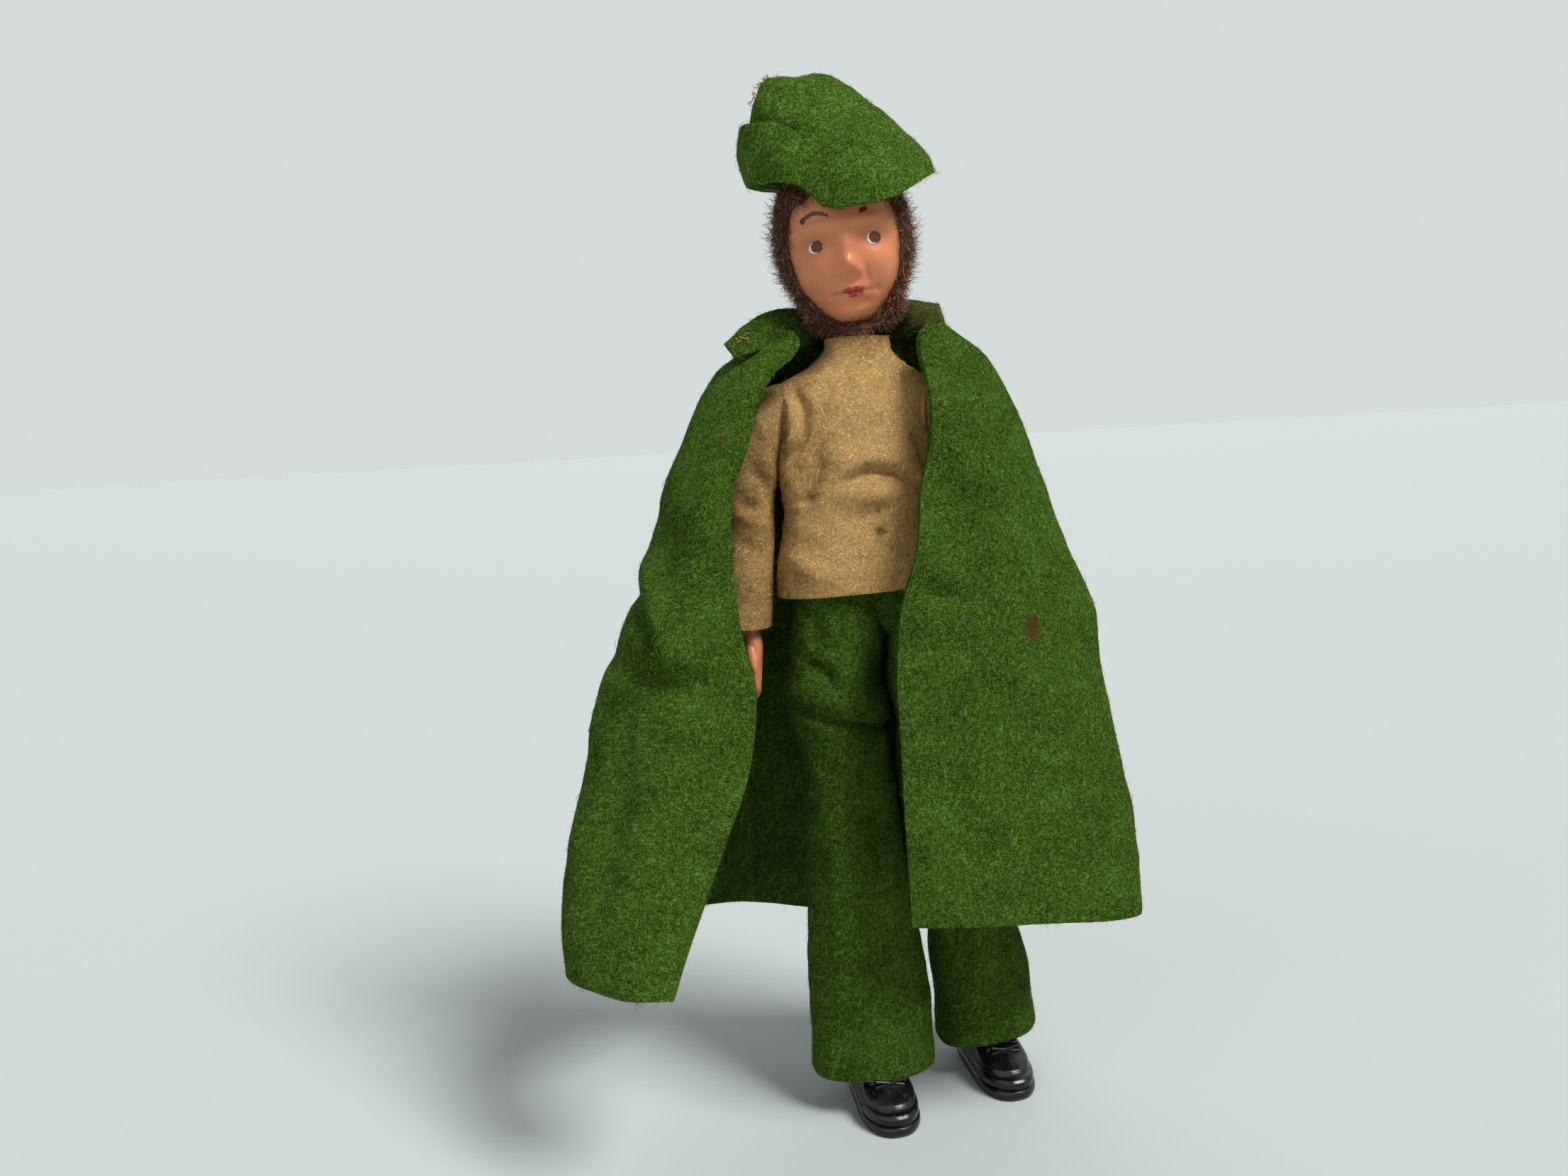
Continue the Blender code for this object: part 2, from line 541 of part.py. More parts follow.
def build_jumper():
    """The felt jumper: a shell with armholes, a neck band, and sleeves in two lengths."""
    outer = table_rings(JUMPER_SHARES, JUMPER_HEM, JUMPER_TOP, (0.0, 0.0), CHEST_HALF_WIDTH, CHEST_HALF_DEPTH,
                        26, JUMPER_SQUARE_SHARE)
    inner = table_rings(JUMPER_SHARES, JUMPER_HEM, JUMPER_TOP, (0.0, 0.0), CHEST_HALF_WIDTH, CHEST_HALF_DEPTH,
                        26, JUMPER_SQUARE_SHARE, FELT)
    neck_shift = NECK_AT[0]
    for rings in (outer, inner):
        for ring in rings:
            rise = max(0.0, (ring[0].z - SHOULDER_AT[2]) / (JUMPER_TOP - SHOULDER_AT[2]))
            for point in ring:
                point.x += neck_shift * rise
    body = finish_object("jumper_body", shell(outer, inner), tan("jumper_felt"))
    armhole_z = armhole_middle()
    for side in SIDES:
        sign = side_sign(side)
        start = (sign * (CORE_HALF_WIDTH - FELT), 0.0, armhole_z)
        end = (sign * (CHEST_HALF_WIDTH + FELT), 0.0, armhole_z)
        cut_with(body, cutter_rod("armhole_" + side, start, end, ARMHOLE_RADIUS, ARMHOLE_RADIUS))
        build_sleeve(side, sign)
    band_half_depth = NECK_BAND_HALF_WIDTH
    bottom = JUMPER_TOP + GAP
    ring_sets = []
    for less in (0.0, FELT):
        ring_sets.append(table_rings(NECK_BAND_SHARES, bottom, NECK_BAND_TOP, (NECK_AT[0], NECK_AT[1] * 0.5),
                                     NECK_BAND_HALF_WIDTH, band_half_depth, 24, 2.0, less))
    finish_object("jumper_neck_band", shell(*ring_sets), tan("neck_band_felt"))


def armhole_middle():
    """Height of the middle of the armhole, a little under the shoulder joint."""
    return SHOULDER_AT[2] - FELT


def sleeve_top_point(sign, turn, way, less):
    """A point of the upper sleeve, which leaves the armhole sideways and ends level at the elbow."""
    c, s = math.cos(turn), math.sin(turn)
    hole_x = CHEST_HALF_WIDTH + GAP
    hole_z = armhole_middle() + (ARMHOLE_HALF_HEIGHT - less) * c
    end_x = ELBOW_AT[0] + (SLEEVE_HALF_WIDTH - less) * c
    end_z = ELBOW_AT[2] + 0.5 * GAP
    stay, corner, go = (1 - way) ** 2, 2 * way * (1 - way), way ** 2
    x = stay * hole_x + corner * end_x + go * end_x
    z = stay * hole_z + corner * hole_z + go * end_z
    half_depth = (ARMHOLE_HALF_DEPTH * (1 - way) + SLEEVE_HALF_DEPTH * way) - less
    return Vector((x * sign, half_depth * s, z))


def build_sleeve(side, sign):
    """Two felt tubes that meet at the elbow."""
    count = 20
    turns = [2 * math.pi * index / count for index in range(count)]
    ring_sets = []
    for less in (0.0, FELT):
        ring_sets.append([[sleeve_top_point(sign, turn, way, less) for turn in turns] for way in steps(6)])
    finish_object("sleeve_upper_" + side, shell(*ring_sets), tan("sleeve_felt"), side_place(SHOULDER_AT, sign))
    elbow, wrist = side_place(ELBOW_AT, sign), side_place(WRIST_AT, sign)
    ring_sets = []
    for less in (0.0, FELT):
        rings = []
        for way in steps(3):
            z = (elbow.z - 0.5 * GAP) * (1 - way) + (wrist.z - CUFF_DROP) * way
            half_width = SLEEVE_HALF_WIDTH * (1 - way) + CUFF_HALF_WIDTH * way - less
            x, y = elbow.lerp(wrist, way).xy
            rings.append(ellipse((x, y, z), half_width, SLEEVE_HALF_DEPTH - less, 20))
        ring_sets.append(rings)
    finish_object("sleeve_lower_" + side, shell(*ring_sets), tan("sleeve_felt"), elbow)


def build_trousers():
    """The felt trousers: a seat and, for each leg, a thigh and a flared shin."""
    ring_sets = []
    crotch = min(hip_heights()) - CROTCH_UNDER_HIP
    for less in (0.0, FELT):
        ring_sets.append(table_rings(SEAT_SHARES, crotch, WAIST_TOP, (0.0, 0.0), SEAT_HALF_WIDTH, SEAT_HALF_DEPTH,
                                     28, TROUSER_SQUARE_SHARE, less))
    finish_object("trousers_seat", shell(*ring_sets), green("trousers_felt"))
    for side in SIDES:
        knee_z = KNEE_AT[side][2]
        top, hem = LEG_TOP_AT[side], LEG_HEM_AT[side]
        spans = (("trouser_thigh_", THIGH_CLOTH_SHARES, crotch - GAP, knee_z + 0.5 * GAP, HIP_AT[side]),
                 ("trouser_shin_", SHIN_CLOTH_SHARES, knee_z - 0.5 * GAP, TROUSER_HEM, KNEE_AT[side]))
        for name, shares, high, low, origin in spans:
            ring_sets = []
            for less in (0.0, FELT):
                rings = []
                for down, way, wide, deep in shares:
                    centre = (top[0] + (hem[0] - top[0]) * way, top[1] + (hem[1] - top[1]) * way,
                              high + (low - high) * down)
                    ring = ellipse(centre, LEG_HALF_WIDTH[side] * wide - less,
                                   LEG_HALF_DEPTH[side] * deep - less, 20, TROUSER_SQUARE_SHARE)
                    if name == "trouser_shin_":
                        for point in ring:
                            outward = (point.x - centre[0]) / LEG_HALF_WIDTH[side]
                            point.z += HEM_RISE[side] * (outward + 0.3) * down ** 3
                    rings.append(ring)
                ring_sets.append(rings)
            finish_object(name + side, shell(*ring_sets), green("trousers_felt"), origin)


def head_point(turn, rise):
    """A point of the head's skin by turn from the front and rise from the level, in the head's frame."""
    x = HEAD_HALF_WIDTH * math.sin(turn) * math.cos(rise)
    y = -HEAD_HALF_DEPTH * math.cos(turn) * math.cos(rise)
    up = math.sin(rise)
    lower = max(0.0, -up)
    x *= 1 - JAW_NARROW_SHARE * lower ** 1.5
    front = max(0.0, -y / HEAD_HALF_DEPTH)
    reach = 0.0
    across = x / HEAD_HALF_WIDTH
    for place_x, place_z, forward, spread_x, spread_z in FACE_SHARES:
        reach += forward * math.exp(-((across - place_x) / spread_x) ** 2 - ((up - place_z) / spread_z) ** 2)
    y -= HEAD_HALF_DEPTH * reach * min(1.0, front * 2.0)
    y += HEAD_HALF_DEPTH * 0.10 * lower ** 2 * (1 if y > 0 else -1) * (-1 if y > 0 else 1)
    z = HEAD_MIDDLE + HEAD_HALF_HEIGHT * up
    chin = 1 / (1 + math.exp((y / HEAD_HALF_DEPTH + 0.35) * 14))
    floor = HEAD_UNDERSIDE - (HEAD_UNDERSIDE - (HEAD_MIDDLE - HEAD_HALF_HEIGHT)) * chin
    return Vector((x + HEAD_SIDE, y, max(z, floor)))


def head_normal(turn, rise):
    """The outward direction of a plain head without its face, for laying hair on it."""
    x = math.sin(turn) * math.cos(rise) / HEAD_HALF_WIDTH
    y = -math.cos(turn) * math.cos(rise) / HEAD_HALF_DEPTH
    z = math.sin(rise) / HEAD_HALF_HEIGHT
    return Vector((x, y, z)).normalized()


def head_to_figure():
    """The matrix that carries the head's frame into the figure's frame."""
    turn = Matrix.Rotation(HEAD_TILT, 4, "Y") @ Matrix.Rotation(HEAD_YAW, 4, "Z")
    return Matrix.Translation(NECK_AT) @ turn


def place_on_neck(name, work, look):
    """Finish a piece that was built in the head's frame."""
    bmesh.ops.transform(work, matrix=head_to_figure(), verts=work.verts)
    return finish_object(name, work, look, NECK_AT)


def build_head():
    """The moulded head with its face."""
    work = bmesh.new()
    bmesh.ops.create_uvsphere(work, u_segments=40, v_segments=30, radius=1.0)
    for vert in work.verts:
        level = math.hypot(vert.co.x, vert.co.y)
        turn = math.atan2(vert.co.x, -vert.co.y) if level > 1e-6 else 0.0
        part = turn / math.pi
        turn = math.pi * (0.55 * part + 0.45 * part ** 3)
        rise = math.asin(max(-1.0, min(1.0, vert.co.z)))
        vert.co = head_point(turn, rise)
    place_on_neck("head", work, vinyl("head_vinyl"))
    mohair = (0.085, 0.035, 0.018)
    build_hair("wig", (65.0, 295.0), 26, lambda turn: (-36.0 - 6.0 * abs(turn - 180) / 115, 42.0), 7, HAIR,
               material("wig_mohair", mohair, 0.8))
    build_hair("beard", (-63.0, 63.0), 22,
               lambda turn: (-66.0, -57.0 + 35.0 * (abs(turn) / 63.0) ** 1.7), 4, BEARD,
               material("beard_mohair", mohair, 0.8))


def build_hair(name, turns, columns, rise_span, rows, thick, look):
    """A patch of fur on the head: a shell that follows the skin and thins at its edges."""
    inner, outer = [], []
    for u in steps(columns):
        turn = turns[0] + (turns[1] - turns[0]) * u
        low, high = rise_span(turn)
        in_row, out_row = [], []
        for v in steps(rows):
            rise = math.radians(low + (high - low) * v)
            skin, away = head_point(math.radians(turn), rise), head_normal(math.radians(turn), rise)
            edge = min(1.0, 0.35 + 3.0 * min(u, 1 - u)) * min(1.0, 0.4 + 2.4 * min(v, 1 - v))
            in_row.append(skin + away * 1.5 * GAP)
            out_row.append(skin + away * (1.5 * GAP + thick * edge))
        inner.append(in_row)
        outer.append(out_row)
    rings = [in_row + list(reversed(out_row)) for in_row, out_row in zip(inner, outer)]
    place_on_neck(name, loft(rings), look)


def cap_point(turn, way, less):
    """A point of the cap: way 0 is its edge and way 1 its ridge; less shrinks it by a wall."""
    degrees = math.degrees(turn)
    middle, half = 0.5 * (CAP_RIGHT - CAP_LEFT), 0.5 * (CAP_RIGHT + CAP_LEFT)
    place = math.sin(turn)
    x_edge = middle + (half - less) * place
    y_edge = -(CAP_HALF_DEPTH - less) * math.cos(turn)
    z_edge = CAP_EDGE + CAP_HEIGHT * between(CAP_EDGE_TURNS, CAP_EDGE_SHARES, degrees)
    ridge_place = place * (1 - 1.3 * less / half)
    ridge_middle, ridge_half = 0.5 * (CAP_RIDGE_RIGHT - CAP_RIDGE_LEFT), 0.5 * (CAP_RIDGE_RIGHT + CAP_RIDGE_LEFT)
    x_ridge = ridge_middle + (ridge_half - less) * ridge_place
    ridge_share = smooth_between(CAP_RIDGE_PLACES_SHARES, CAP_RIDGE_SHARES, ridge_place)
    z_ridge = CAP_EDGE + CAP_HEIGHT * ridge_share - 1.4 * less
    y_ridge = -CAP_RIDGE_HALF * math.cos(turn) * (1.0 if less == 0 else 0.4)
    rise = math.sin(way * math.pi / 2)
    lean = 1 - math.cos(way * math.pi / 2)
    x = x_edge + (x_ridge - x_edge) * lean
    y = y_edge + (y_ridge - y_edge) * lean
    z = z_edge + (z_ridge - z_edge) * rise
    return Vector((x, y, z))


def build_cap():
    """The felt cap: crown drawn up into a ridge, a turned-up brim, and the stitches at its corner."""
    count = 36
    turns = [2 * math.pi * index / count - math.pi for index in range(count)]
    outer = [[cap_point(turn, way, 0.0) for turn in turns] for way in steps(7)]
    inner = [[cap_point(turn, way, FELT) for turn in turns] for way in steps(5)]
    rings = list(reversed(outer)) + inner
    work = loft(rings)
    place_on_neck("hat_crown", work, green("hat_felt"))
    rings = []
    for u in steps(30):
        degrees = BRIM_TURNS[0] + (BRIM_TURNS[-1] - BRIM_TURNS[0]) * u
        turn = math.radians(degrees if degrees > -180 else degrees + 360)
        tall = BRIM_HEIGHT * between([-t for t in BRIM_TURNS], BRIM_SHARES, -degrees)
        edge, ridge = cap_point(turn, 0.0, 0.0), cap_point(turn, 1.0, 0.0)
        inner_side, outer_side = [], []
        for v in steps(3):
            rise_share = min(0.95, tall * v / max(ridge.z - edge.z, GAP))
            way = math.asin(rise_share) * 2 / math.pi
            point = cap_point(turn, way, 0.0)
            point.z = edge.z + tall * v
            out = Vector((point.x - 0.5 * (CAP_RIGHT - CAP_LEFT), point.y, 0.0)).normalized()
            flare = BRIM_FLARE * v * v * tall / BRIM_HEIGHT
            inner_side.append(point + out * (1.6 * GAP + flare))
            outer_side.append(point + out * (1.6 * GAP + FELT + flare))
        rings.append(inner_side + list(reversed(outer_side)))
    place_on_neck("hat_brim", loft(rings), green("brim_felt"))


def cape_row(level):
    """The plan of the cape at one share of its drop, from its left front edge round to its right."""
    columns = list(zip(*CAPE_SHARES))
    values = [smooth_between(columns[0], column, level) for column in columns[1:]]
    left_out, left_in, right_in, right_out = [value * CAPE_WIDE for value in values[:4]]
    back, left_front, left_side, right_front, right_side = [value * CAPE_DEEP for value in values[4:]]
    reach = CAPE_CORNER_SHARE + (0.92 - CAPE_CORNER_SHARE) * min(1.0, 4 * level)
    points = ((left_in, left_front), (0.5 * (left_in + left_out), left_side + (left_front - left_side) * reach),
              (left_out, left_side), (0.74 * left_out, 0.62 * back), (0.38 * left_out, 0.95 * back),
              (0.0, back), (0.38 * right_out, 0.95 * back), (0.76 * right_out, 0.62 * back),
              (right_out, right_side),
              (0.5 * (right_in + right_out), right_side + (right_front - right_side) * reach),
              (right_in, right_front))
    return points


def cape_plan(along, level):
    """A point of the cape's plan by the share of the way round it."""
    points = cape_row(level)
    marks = [index / (len(points) - 1) for index in range(len(points))]
    x = smooth_between(marks, [point[0] for point in points], along)
    y = smooth_between(marks, [point[1] for point in points], along)
    return x, y


def cape_point(along, level):
    """A point of the middle of the cape's felt, with its folds."""
    x, y = cape_plan(along, level)
    ahead = cape_plan(min(1.0, along + 0.01), level)
    behind = cape_plan(max(0.0, along - 0.01), level)
    way = Vector((ahead[0] - behind[0], ahead[1] - behind[1], 0.0)).normalized()
    out = Vector((way.y * -1, way.x, 0.0))
    window = math.sin(math.pi * max(0.0, min(1.0, (along - 0.12) / 0.76))) ** 0.7
    fold = CAPE_FOLD * (level ** 0.8) * math.sin(2 * math.pi * 5.5 * along + 0.6) * window
    side = math.exp(-((along - 0.13) / 0.07) ** 2 - ((level - 0.47) / 0.09) ** 2)
    kink = -math.exp(-((along - 0.12) / 0.07) ** 2 - ((level - 0.565) / 0.035) ** 2)
    fold += CAPE_ELBOW_BULGE * (0.7 * side + 0.45 * kink)
    hem = between(CAPE_HEM_PLACES_SHARES, CAPE_HEM_SHARES, along)
    z = CAPE_TOP - CAPE_DROP * level * (1 + (hem - 1) * level)
    return Vector((x, y, z)) + out * fold


def sheet(name, place, columns, rows, look, origin=(0.0, 0.0, 0.0)):
    """A felt sheet: a unit grid laid on a formula and given its thickness by Solidify."""
    work = bmesh.new()
    bmesh.ops.create_grid(work, x_segments=columns, y_segments=rows, size=0.5)
    for vert in work.verts:
        vert.co = place(vert.co.x + 0.5, vert.co.y + 0.5)
    item = finish_object(name, work, look, origin)
    thick = item.modifiers.new("felt", "SOLIDIFY")
    thick.thickness = FELT
    thick.offset = 0.0
    thick.use_even_offset = True
    return item


def cape_level(down):
    """The share of the drop at a share of the rows, which lie closer at the shoulders."""
    marks = [index / (len(CAPE_SHARES) - 1) for index in range(len(CAPE_SHARES))]
    return between(marks, [row[0] for row in CAPE_SHARES], down)


def cape_away(along, level):
    """The direction square to the cape's felt, outward."""
    step = 0.02
    ahead = cape_point(min(1.0, along + step), level) - cape_point(max(0.0, along - step), level)
    down = cape_point(along, min(1.0, level + step)) - cape_point(along, max(0.0, level - step))
    return down.cross(ahead).normalized()


def collar_point(along, across):
    """A point of the folded collar: a stand inside the cape's top edge and a fall outside it."""
    round_way = COLLAR_START_SHARE + (COLLAR_END_SHARE - COLLAR_START_SHARE) * along
    side = between(COLLAR_MARKS_SHARES, COLLAR_SIDE_SHARES, across)
    rise = smooth_between(COLLAR_MARKS_SHARES, COLLAR_RISE_SHARES, across) * COLLAR_STAND
    fall = COLLAR_FALL_LEFT + (COLLAR_FALL_RIGHT - COLLAR_FALL_LEFT) * along ** 2
    level = max(0.0, (across - COLLAR_MARKS_SHARES[-2]) / (1 - COLLAR_MARKS_SHARES[-2])) * fall / CAPE_DROP
    away = cape_away(round_way, level)
    if side <= 0:
        away = Vector((away.x, away.y, 0.0)).normalized()
    base = cape_point(round_way, level)
    return base + away * (FELT + 1.8 * GAP) * side + Vector((0.0, 0.0, rise + 0.5 * FELT * (level == 0)))


def zigzag(name, place, count, look, origin, transform=None):
    """One thread that runs to and fro over the felt as a short row of stitches."""
    points = [place(index / (count - 1), index % 2) for index in range(count)]
    curve = bpy.data.curves.new(name, "CURVE")
    curve.dimensions = "3D"
    curve.bevel_depth = THREAD_RADIUS
    curve.bevel_resolution = 0
    curve.use_fill_caps = True
    spline = curve.splines.new("POLY")
    spline.points.add(count - 1)
    for target, point in zip(spline.points, points):
        if transform:
            point = transform @ point
        target.co = (*(point - Vector(origin)), 1.0)
    curve.materials.append(look)
    item = bpy.data.objects.new(name, curve)
    item.location = origin
    bpy.context.collection.objects.link(item)
    return item


def build_cape():
    """The cape with its collar and the stitches on the collar's end."""
    sheet("cape", lambda along, down: cape_point(along, cape_level(down)), 40, len(CAPE_SHARES) - 1,
          green("cape_felt"))
    sheet("cape_collar", collar_point, 34, 6, green("collar_felt"))

    def stitch(way, high):
        across = 0.9 if high else 0.78
        base = collar_point(0.02 + 0.05 * way, across)
        beside = collar_point(0.03 + 0.05 * way, across) - base
        below = collar_point(0.02 + 0.05 * way, across + 0.05) - base
        return base + below.cross(beside).normalized() * (0.5 * FELT + GAP + 2 * THREAD_RADIUS)

    zigzag("collar_stitches", stitch, 7, material("stitch_thread", (0.24, 0.13, 0.05), 0.7), (0.0, 0.0, 0.0))

    def cap_stitch(way, high):
        turn = math.radians(-62 - 16 * way)
        base = cap_point(turn, 0.86 if high else 0.70, 0.0)
        outward = Vector((base.x, base.y, CAP_HEIGHT * 0.6)).normalized()
        return base + outward * (GAP + 2.5 * THREAD_RADIUS)

    zigzag("hat_stitches", cap_stitch, 7, material("stitch_thread", (0.24, 0.13, 0.05), 0.7), NECK_AT,
           head_to_figure())


def centre_on_origin():
    """Move every piece so that the middle of the bounding box lies over the origin, on the floor."""
    bpy.context.view_layer.update()
    depsgraph = bpy.context.evaluated_depsgraph_get()
    points = []
    for item in bpy.data.objects:
        if item.hide_render:
            continue
        evaluated = item.evaluated_get(depsgraph)
        mesh = evaluated.to_mesh()
        points.extend(evaluated.matrix_world @ vert.co for vert in mesh.vertices)
        evaluated.to_mesh_clear()
    low, high = (Vector([pick(point[axis] for point in points) for axis in range(3)]) for pick in (min, max))
    shift = Vector((-(low.x + high.x) / 2, -(low.y + high.y) / 2, -low.z))
    for item in bpy.data.objects:
        item.location += shift
    print("size mm", [round(v / MM, 2) for v in high - low], "shift mm", [round(v / MM, 3) for v in shift])


def build():
    clear_scene()
    build_torso()
    for side in SIDES:
        build_arm(side)
        build_leg(side)
        build_boot(side)
    build_jumper()
    build_trousers()
    build_head()
    build_cap()
    build_cape()
    centre_on_origin()


build()
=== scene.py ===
"""Looks of the bendy dolls' house man: felt clothes, vinyl head, hands and boots, mohair wig and beard.

The clothes are shaped in the figure's own millimetres, where the neck bends at NECK_AT, and are then carried
into the frame. The doll faces -Y and its left arm is on +X.
"""
import json
import math

import bmesh
import bpy
import numpy as np
from mathutils import Matrix, Vector, noise


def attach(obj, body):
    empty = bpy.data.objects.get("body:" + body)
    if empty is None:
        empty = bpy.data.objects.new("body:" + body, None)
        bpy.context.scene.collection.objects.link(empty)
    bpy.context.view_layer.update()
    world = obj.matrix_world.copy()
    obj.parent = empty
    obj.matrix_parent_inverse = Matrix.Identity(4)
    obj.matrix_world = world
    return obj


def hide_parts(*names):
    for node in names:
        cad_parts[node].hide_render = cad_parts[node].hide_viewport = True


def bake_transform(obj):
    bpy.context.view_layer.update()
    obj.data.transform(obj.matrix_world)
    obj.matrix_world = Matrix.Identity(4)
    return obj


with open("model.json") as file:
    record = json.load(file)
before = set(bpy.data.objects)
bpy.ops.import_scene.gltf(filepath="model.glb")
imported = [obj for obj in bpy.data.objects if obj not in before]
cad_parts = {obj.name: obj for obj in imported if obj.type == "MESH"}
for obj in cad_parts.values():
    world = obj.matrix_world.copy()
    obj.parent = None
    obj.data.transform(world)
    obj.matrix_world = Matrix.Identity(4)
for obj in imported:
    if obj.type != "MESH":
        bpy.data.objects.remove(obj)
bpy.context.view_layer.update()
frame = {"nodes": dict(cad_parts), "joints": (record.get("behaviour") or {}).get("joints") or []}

MM = 0.001
FELT = 0.95
HALF_TURN = math.pi
NECK_AT = Vector((1.0, 0.5, 118.0))
neck_pivot = next(joint["pos_m"] for joint in frame["joints"] if joint["name"] == "head_nod")
FIGURE = Matrix.Translation(Vector(neck_pivot) - NECK_AT * MM) @ Matrix.Scale(MM, 4)
HEAD = (Matrix.Translation(NECK_AT) @ Matrix.Rotation(math.radians(-6.2), 4, "Y")
        @ Matrix.Rotation(math.radians(-3.0), 4, "Z"))
SIDES = {"r": -1, "l": 1}
SIDE_NAMES = {"r": "right", "l": "left"}


def at(x, y, z):
    """A place given in the figure's millimetres, in the frame's metres."""
    return tuple(FIGURE @ Vector((x, y, z)))


# ---- Camera -----------------------------------------------------------------------------------------

def place_camera():
    lens = bpy.data.cameras.new("camera")
    lens.sensor_width = 36.0
    lens.lens = 36.0 * 1800 / 2212
    lens.clip_start = 0.005
    camera = bpy.data.objects.new("camera", lens)
    bpy.context.collection.objects.link(camera)
    camera.matrix_world = (Matrix.Translation(at(-12.0, -194.0, 105.0))
                           @ Matrix.Rotation(math.radians(90 - 6.5), 4, "X")
                           @ Matrix.Rotation(math.radians(-3.3), 4, "Z"))
    bpy.context.scene.camera = camera


# ---- Finishes ---------------------------------------------------------------------------------------

class Socket:
    """A shader output that takes part in arithmetic. Each operation adds a Math node."""

    def __init__(self, paint, output):
        self.paint = paint
        self.output = output

    def math(self, operation, *others):
        values = dict(enumerate((self, *others)))
        return self.paint.node("ShaderNodeMath", {"operation": operation}, values)

    def __add__(self, other):
        return self.math("ADD", other)

    def __sub__(self, other):
        return self.math("SUBTRACT", other)

    def __rsub__(self, other):
        return self.paint.node("ShaderNodeMath", {"operation": "SUBTRACT"}, {0: other, 1: self})

    def __mul__(self, other):
        return self.math("MULTIPLY", other)

    def __truediv__(self, other):
        return self.math("DIVIDE", other)

    def __pow__(self, other):
        return self.math("POWER", other)

    __radd__ = __add__
    __rmul__ = __mul__


class Paint:
    """One finish: a Principled material and the nodes that feed it."""

    def __init__(self, name, **constants):
        self.material = bpy.data.materials.new(name)
        self.material.use_nodes = True
        self.tree = self.material.node_tree
        self.shader = self.tree.nodes["Principled BSDF"]
        for socket, value in constants.items():
            self.shader.inputs[socket.replace("_", " ")].default_value = value
        self.where = self.node("ShaderNodeTexCoord", out="Object")

    def node(self, kind, settings=None, inputs=None, out=0):
        made = self.tree.nodes.new(kind)
        for name, value in (settings or {}).items():
            setattr(made, name, value)
        for name, value in (inputs or {}).items():
            if isinstance(value, Socket):
                self.tree.links.new(value.output, made.inputs[name])
            else:
                made.inputs[name].default_value = value
        return Socket(self, made.outputs[out])

    def feed(self, socket, value):
        self.tree.links.new(value.output, self.shader.inputs[socket])

    def noise(self, size, detail=2.0, twist=0.0, rough=0.5):
        return self.node("ShaderNodeTexNoise", None, {"Vector": self.where, "Scale": 1 / size,
                                                      "Detail": detail, "Distortion": twist, "Roughness": rough})

    def rise(self, value, low, high):
        """0 below low, 1 above high, and a smooth step between."""
        return self.node("ShaderNodeMapRange", {"interpolation_type": "SMOOTHSTEP"},
                         {"Value": value, "From Min": low, "From Max": high})

    def mix(self, amount, first, second):
        colours = [c if isinstance(c, Socket) else (*c, 1.0) for c in (first, second)]
        return self.node("ShaderNodeMix", {"data_type": "RGBA"}, {0: amount, 6: colours[0], 7: colours[1]}, out=2)

    def bump(self, height, distance, strength=1.0):
        self.feed("Normal", self.node("ShaderNodeBump", None,
                                      {"Height": height, "Distance": distance, "Strength": strength}))

    def spot(self, centre, half, where, soft=0.12):
        """1 inside an ellipse that looks along Y, 0 outside it."""
        parts = self.node("ShaderNodeSeparateXYZ", None, {"Vector": where})
        across = Socket(self, parts.output.node.outputs[0])
        up = Socket(self, parts.output.node.outputs[2])
        reach = (((across - centre[0]) / half[0]) ** 2 + ((up - centre[1]) / half[1]) ** 2) ** 0.5
        return 1 - self.rise(reach, 1 - soft, 1 + soft)

    def fibres(self, wide, long, turns, thin=16.0):
        """Bright curling lines of fibres that lie every way."""
        lines = None
        for turn in turns:
            turned = self.node("ShaderNodeMapping", {"vector_type": "TEXTURE"},
                               {"Vector": self.where, "Rotation": turn, "Scale": (wide, wide, long)})
            grain = self.node("ShaderNodeTexNoise", None, {"Vector": turned, "Scale": 1.0, "Detail": 1.0,
                                                           "Distortion": 0.7})
            line = (1 - (grain - 0.5).math("ABSOLUTE") * thin).math("MAXIMUM", 0.0)
            lines = line if lines is None else lines.math("MAXIMUM", line)
        return lines


FIBRE_TURNS = ((0.3, 0.2, 0.1), (1.4, 0.5, 0.9), (0.7, 1.5, 2.1), (2.2, 0.9, 0.4))


def felt_finish(name, pale, middle, deep, stains_and_hole_shade=()):
    """Pressed wool: a mottled ground under curling fibres, with dark marks that are real stains, and painted shade in
    small holes.
    """
    paint = Paint(name, Roughness=0.95, Specular_IOR_Level=0.04)
    cloud = paint.noise(0.006, 3.0)
    lumps = paint.noise(0.0008, 2.0)
    lines = paint.fibres(0.00046, 0.0026, FIBRE_TURNS[:3], 20.0)
    fine = paint.fibres(0.00030, 0.0017, FIBRE_TURNS[1:], 14.0)
    ground = paint.mix(paint.rise(cloud * 0.5 + lumps * 0.5, 0.36, 0.64), deep, middle)
    colour = paint.mix(fine * (0.3 + cloud), ground, middle)
    colour = paint.mix(lines * (0.4 + cloud), colour, pale)
    # Dark marks on the front: real stains on the green felt, painted shade standing in for the jumper's small holes.
    for centre, half, mark_colour, amount in stains_and_hole_shade:
        place = at(centre[0], 0.0, centre[1])
        ragged = paint.node("ShaderNodeVectorMath", {"operation": "SCALE"}, {
            0: paint.node("ShaderNodeTexNoise", None, {"Vector": paint.where, "Scale": 1500.0}, out="Color"),
            "Scale": 0.0012})
        ragged = paint.node("ShaderNodeVectorMath", {"operation": "ADD"}, {0: paint.where, 1: ragged})
        mark = paint.spot((place[0] + 0.6 * MM, place[2] + 0.6 * MM), (half[0] * MM, half[1] * MM), ragged, 0.45)
        depth = paint.node("ShaderNodeSeparateXYZ", None, {"Vector": paint.where})
        front = 1 - paint.rise(Socket(paint, depth.output.node.outputs[1]), place[1] - 0.002, place[1] + 0.001)
        colour = paint.mix(mark * front * amount, colour, mark_colour)
    paint.feed("Base Color", colour)
    paint.bump(lines * 0.7 + fine * 0.3 + lumps * 0.8, 0.0003, 1.0)
    return paint.material


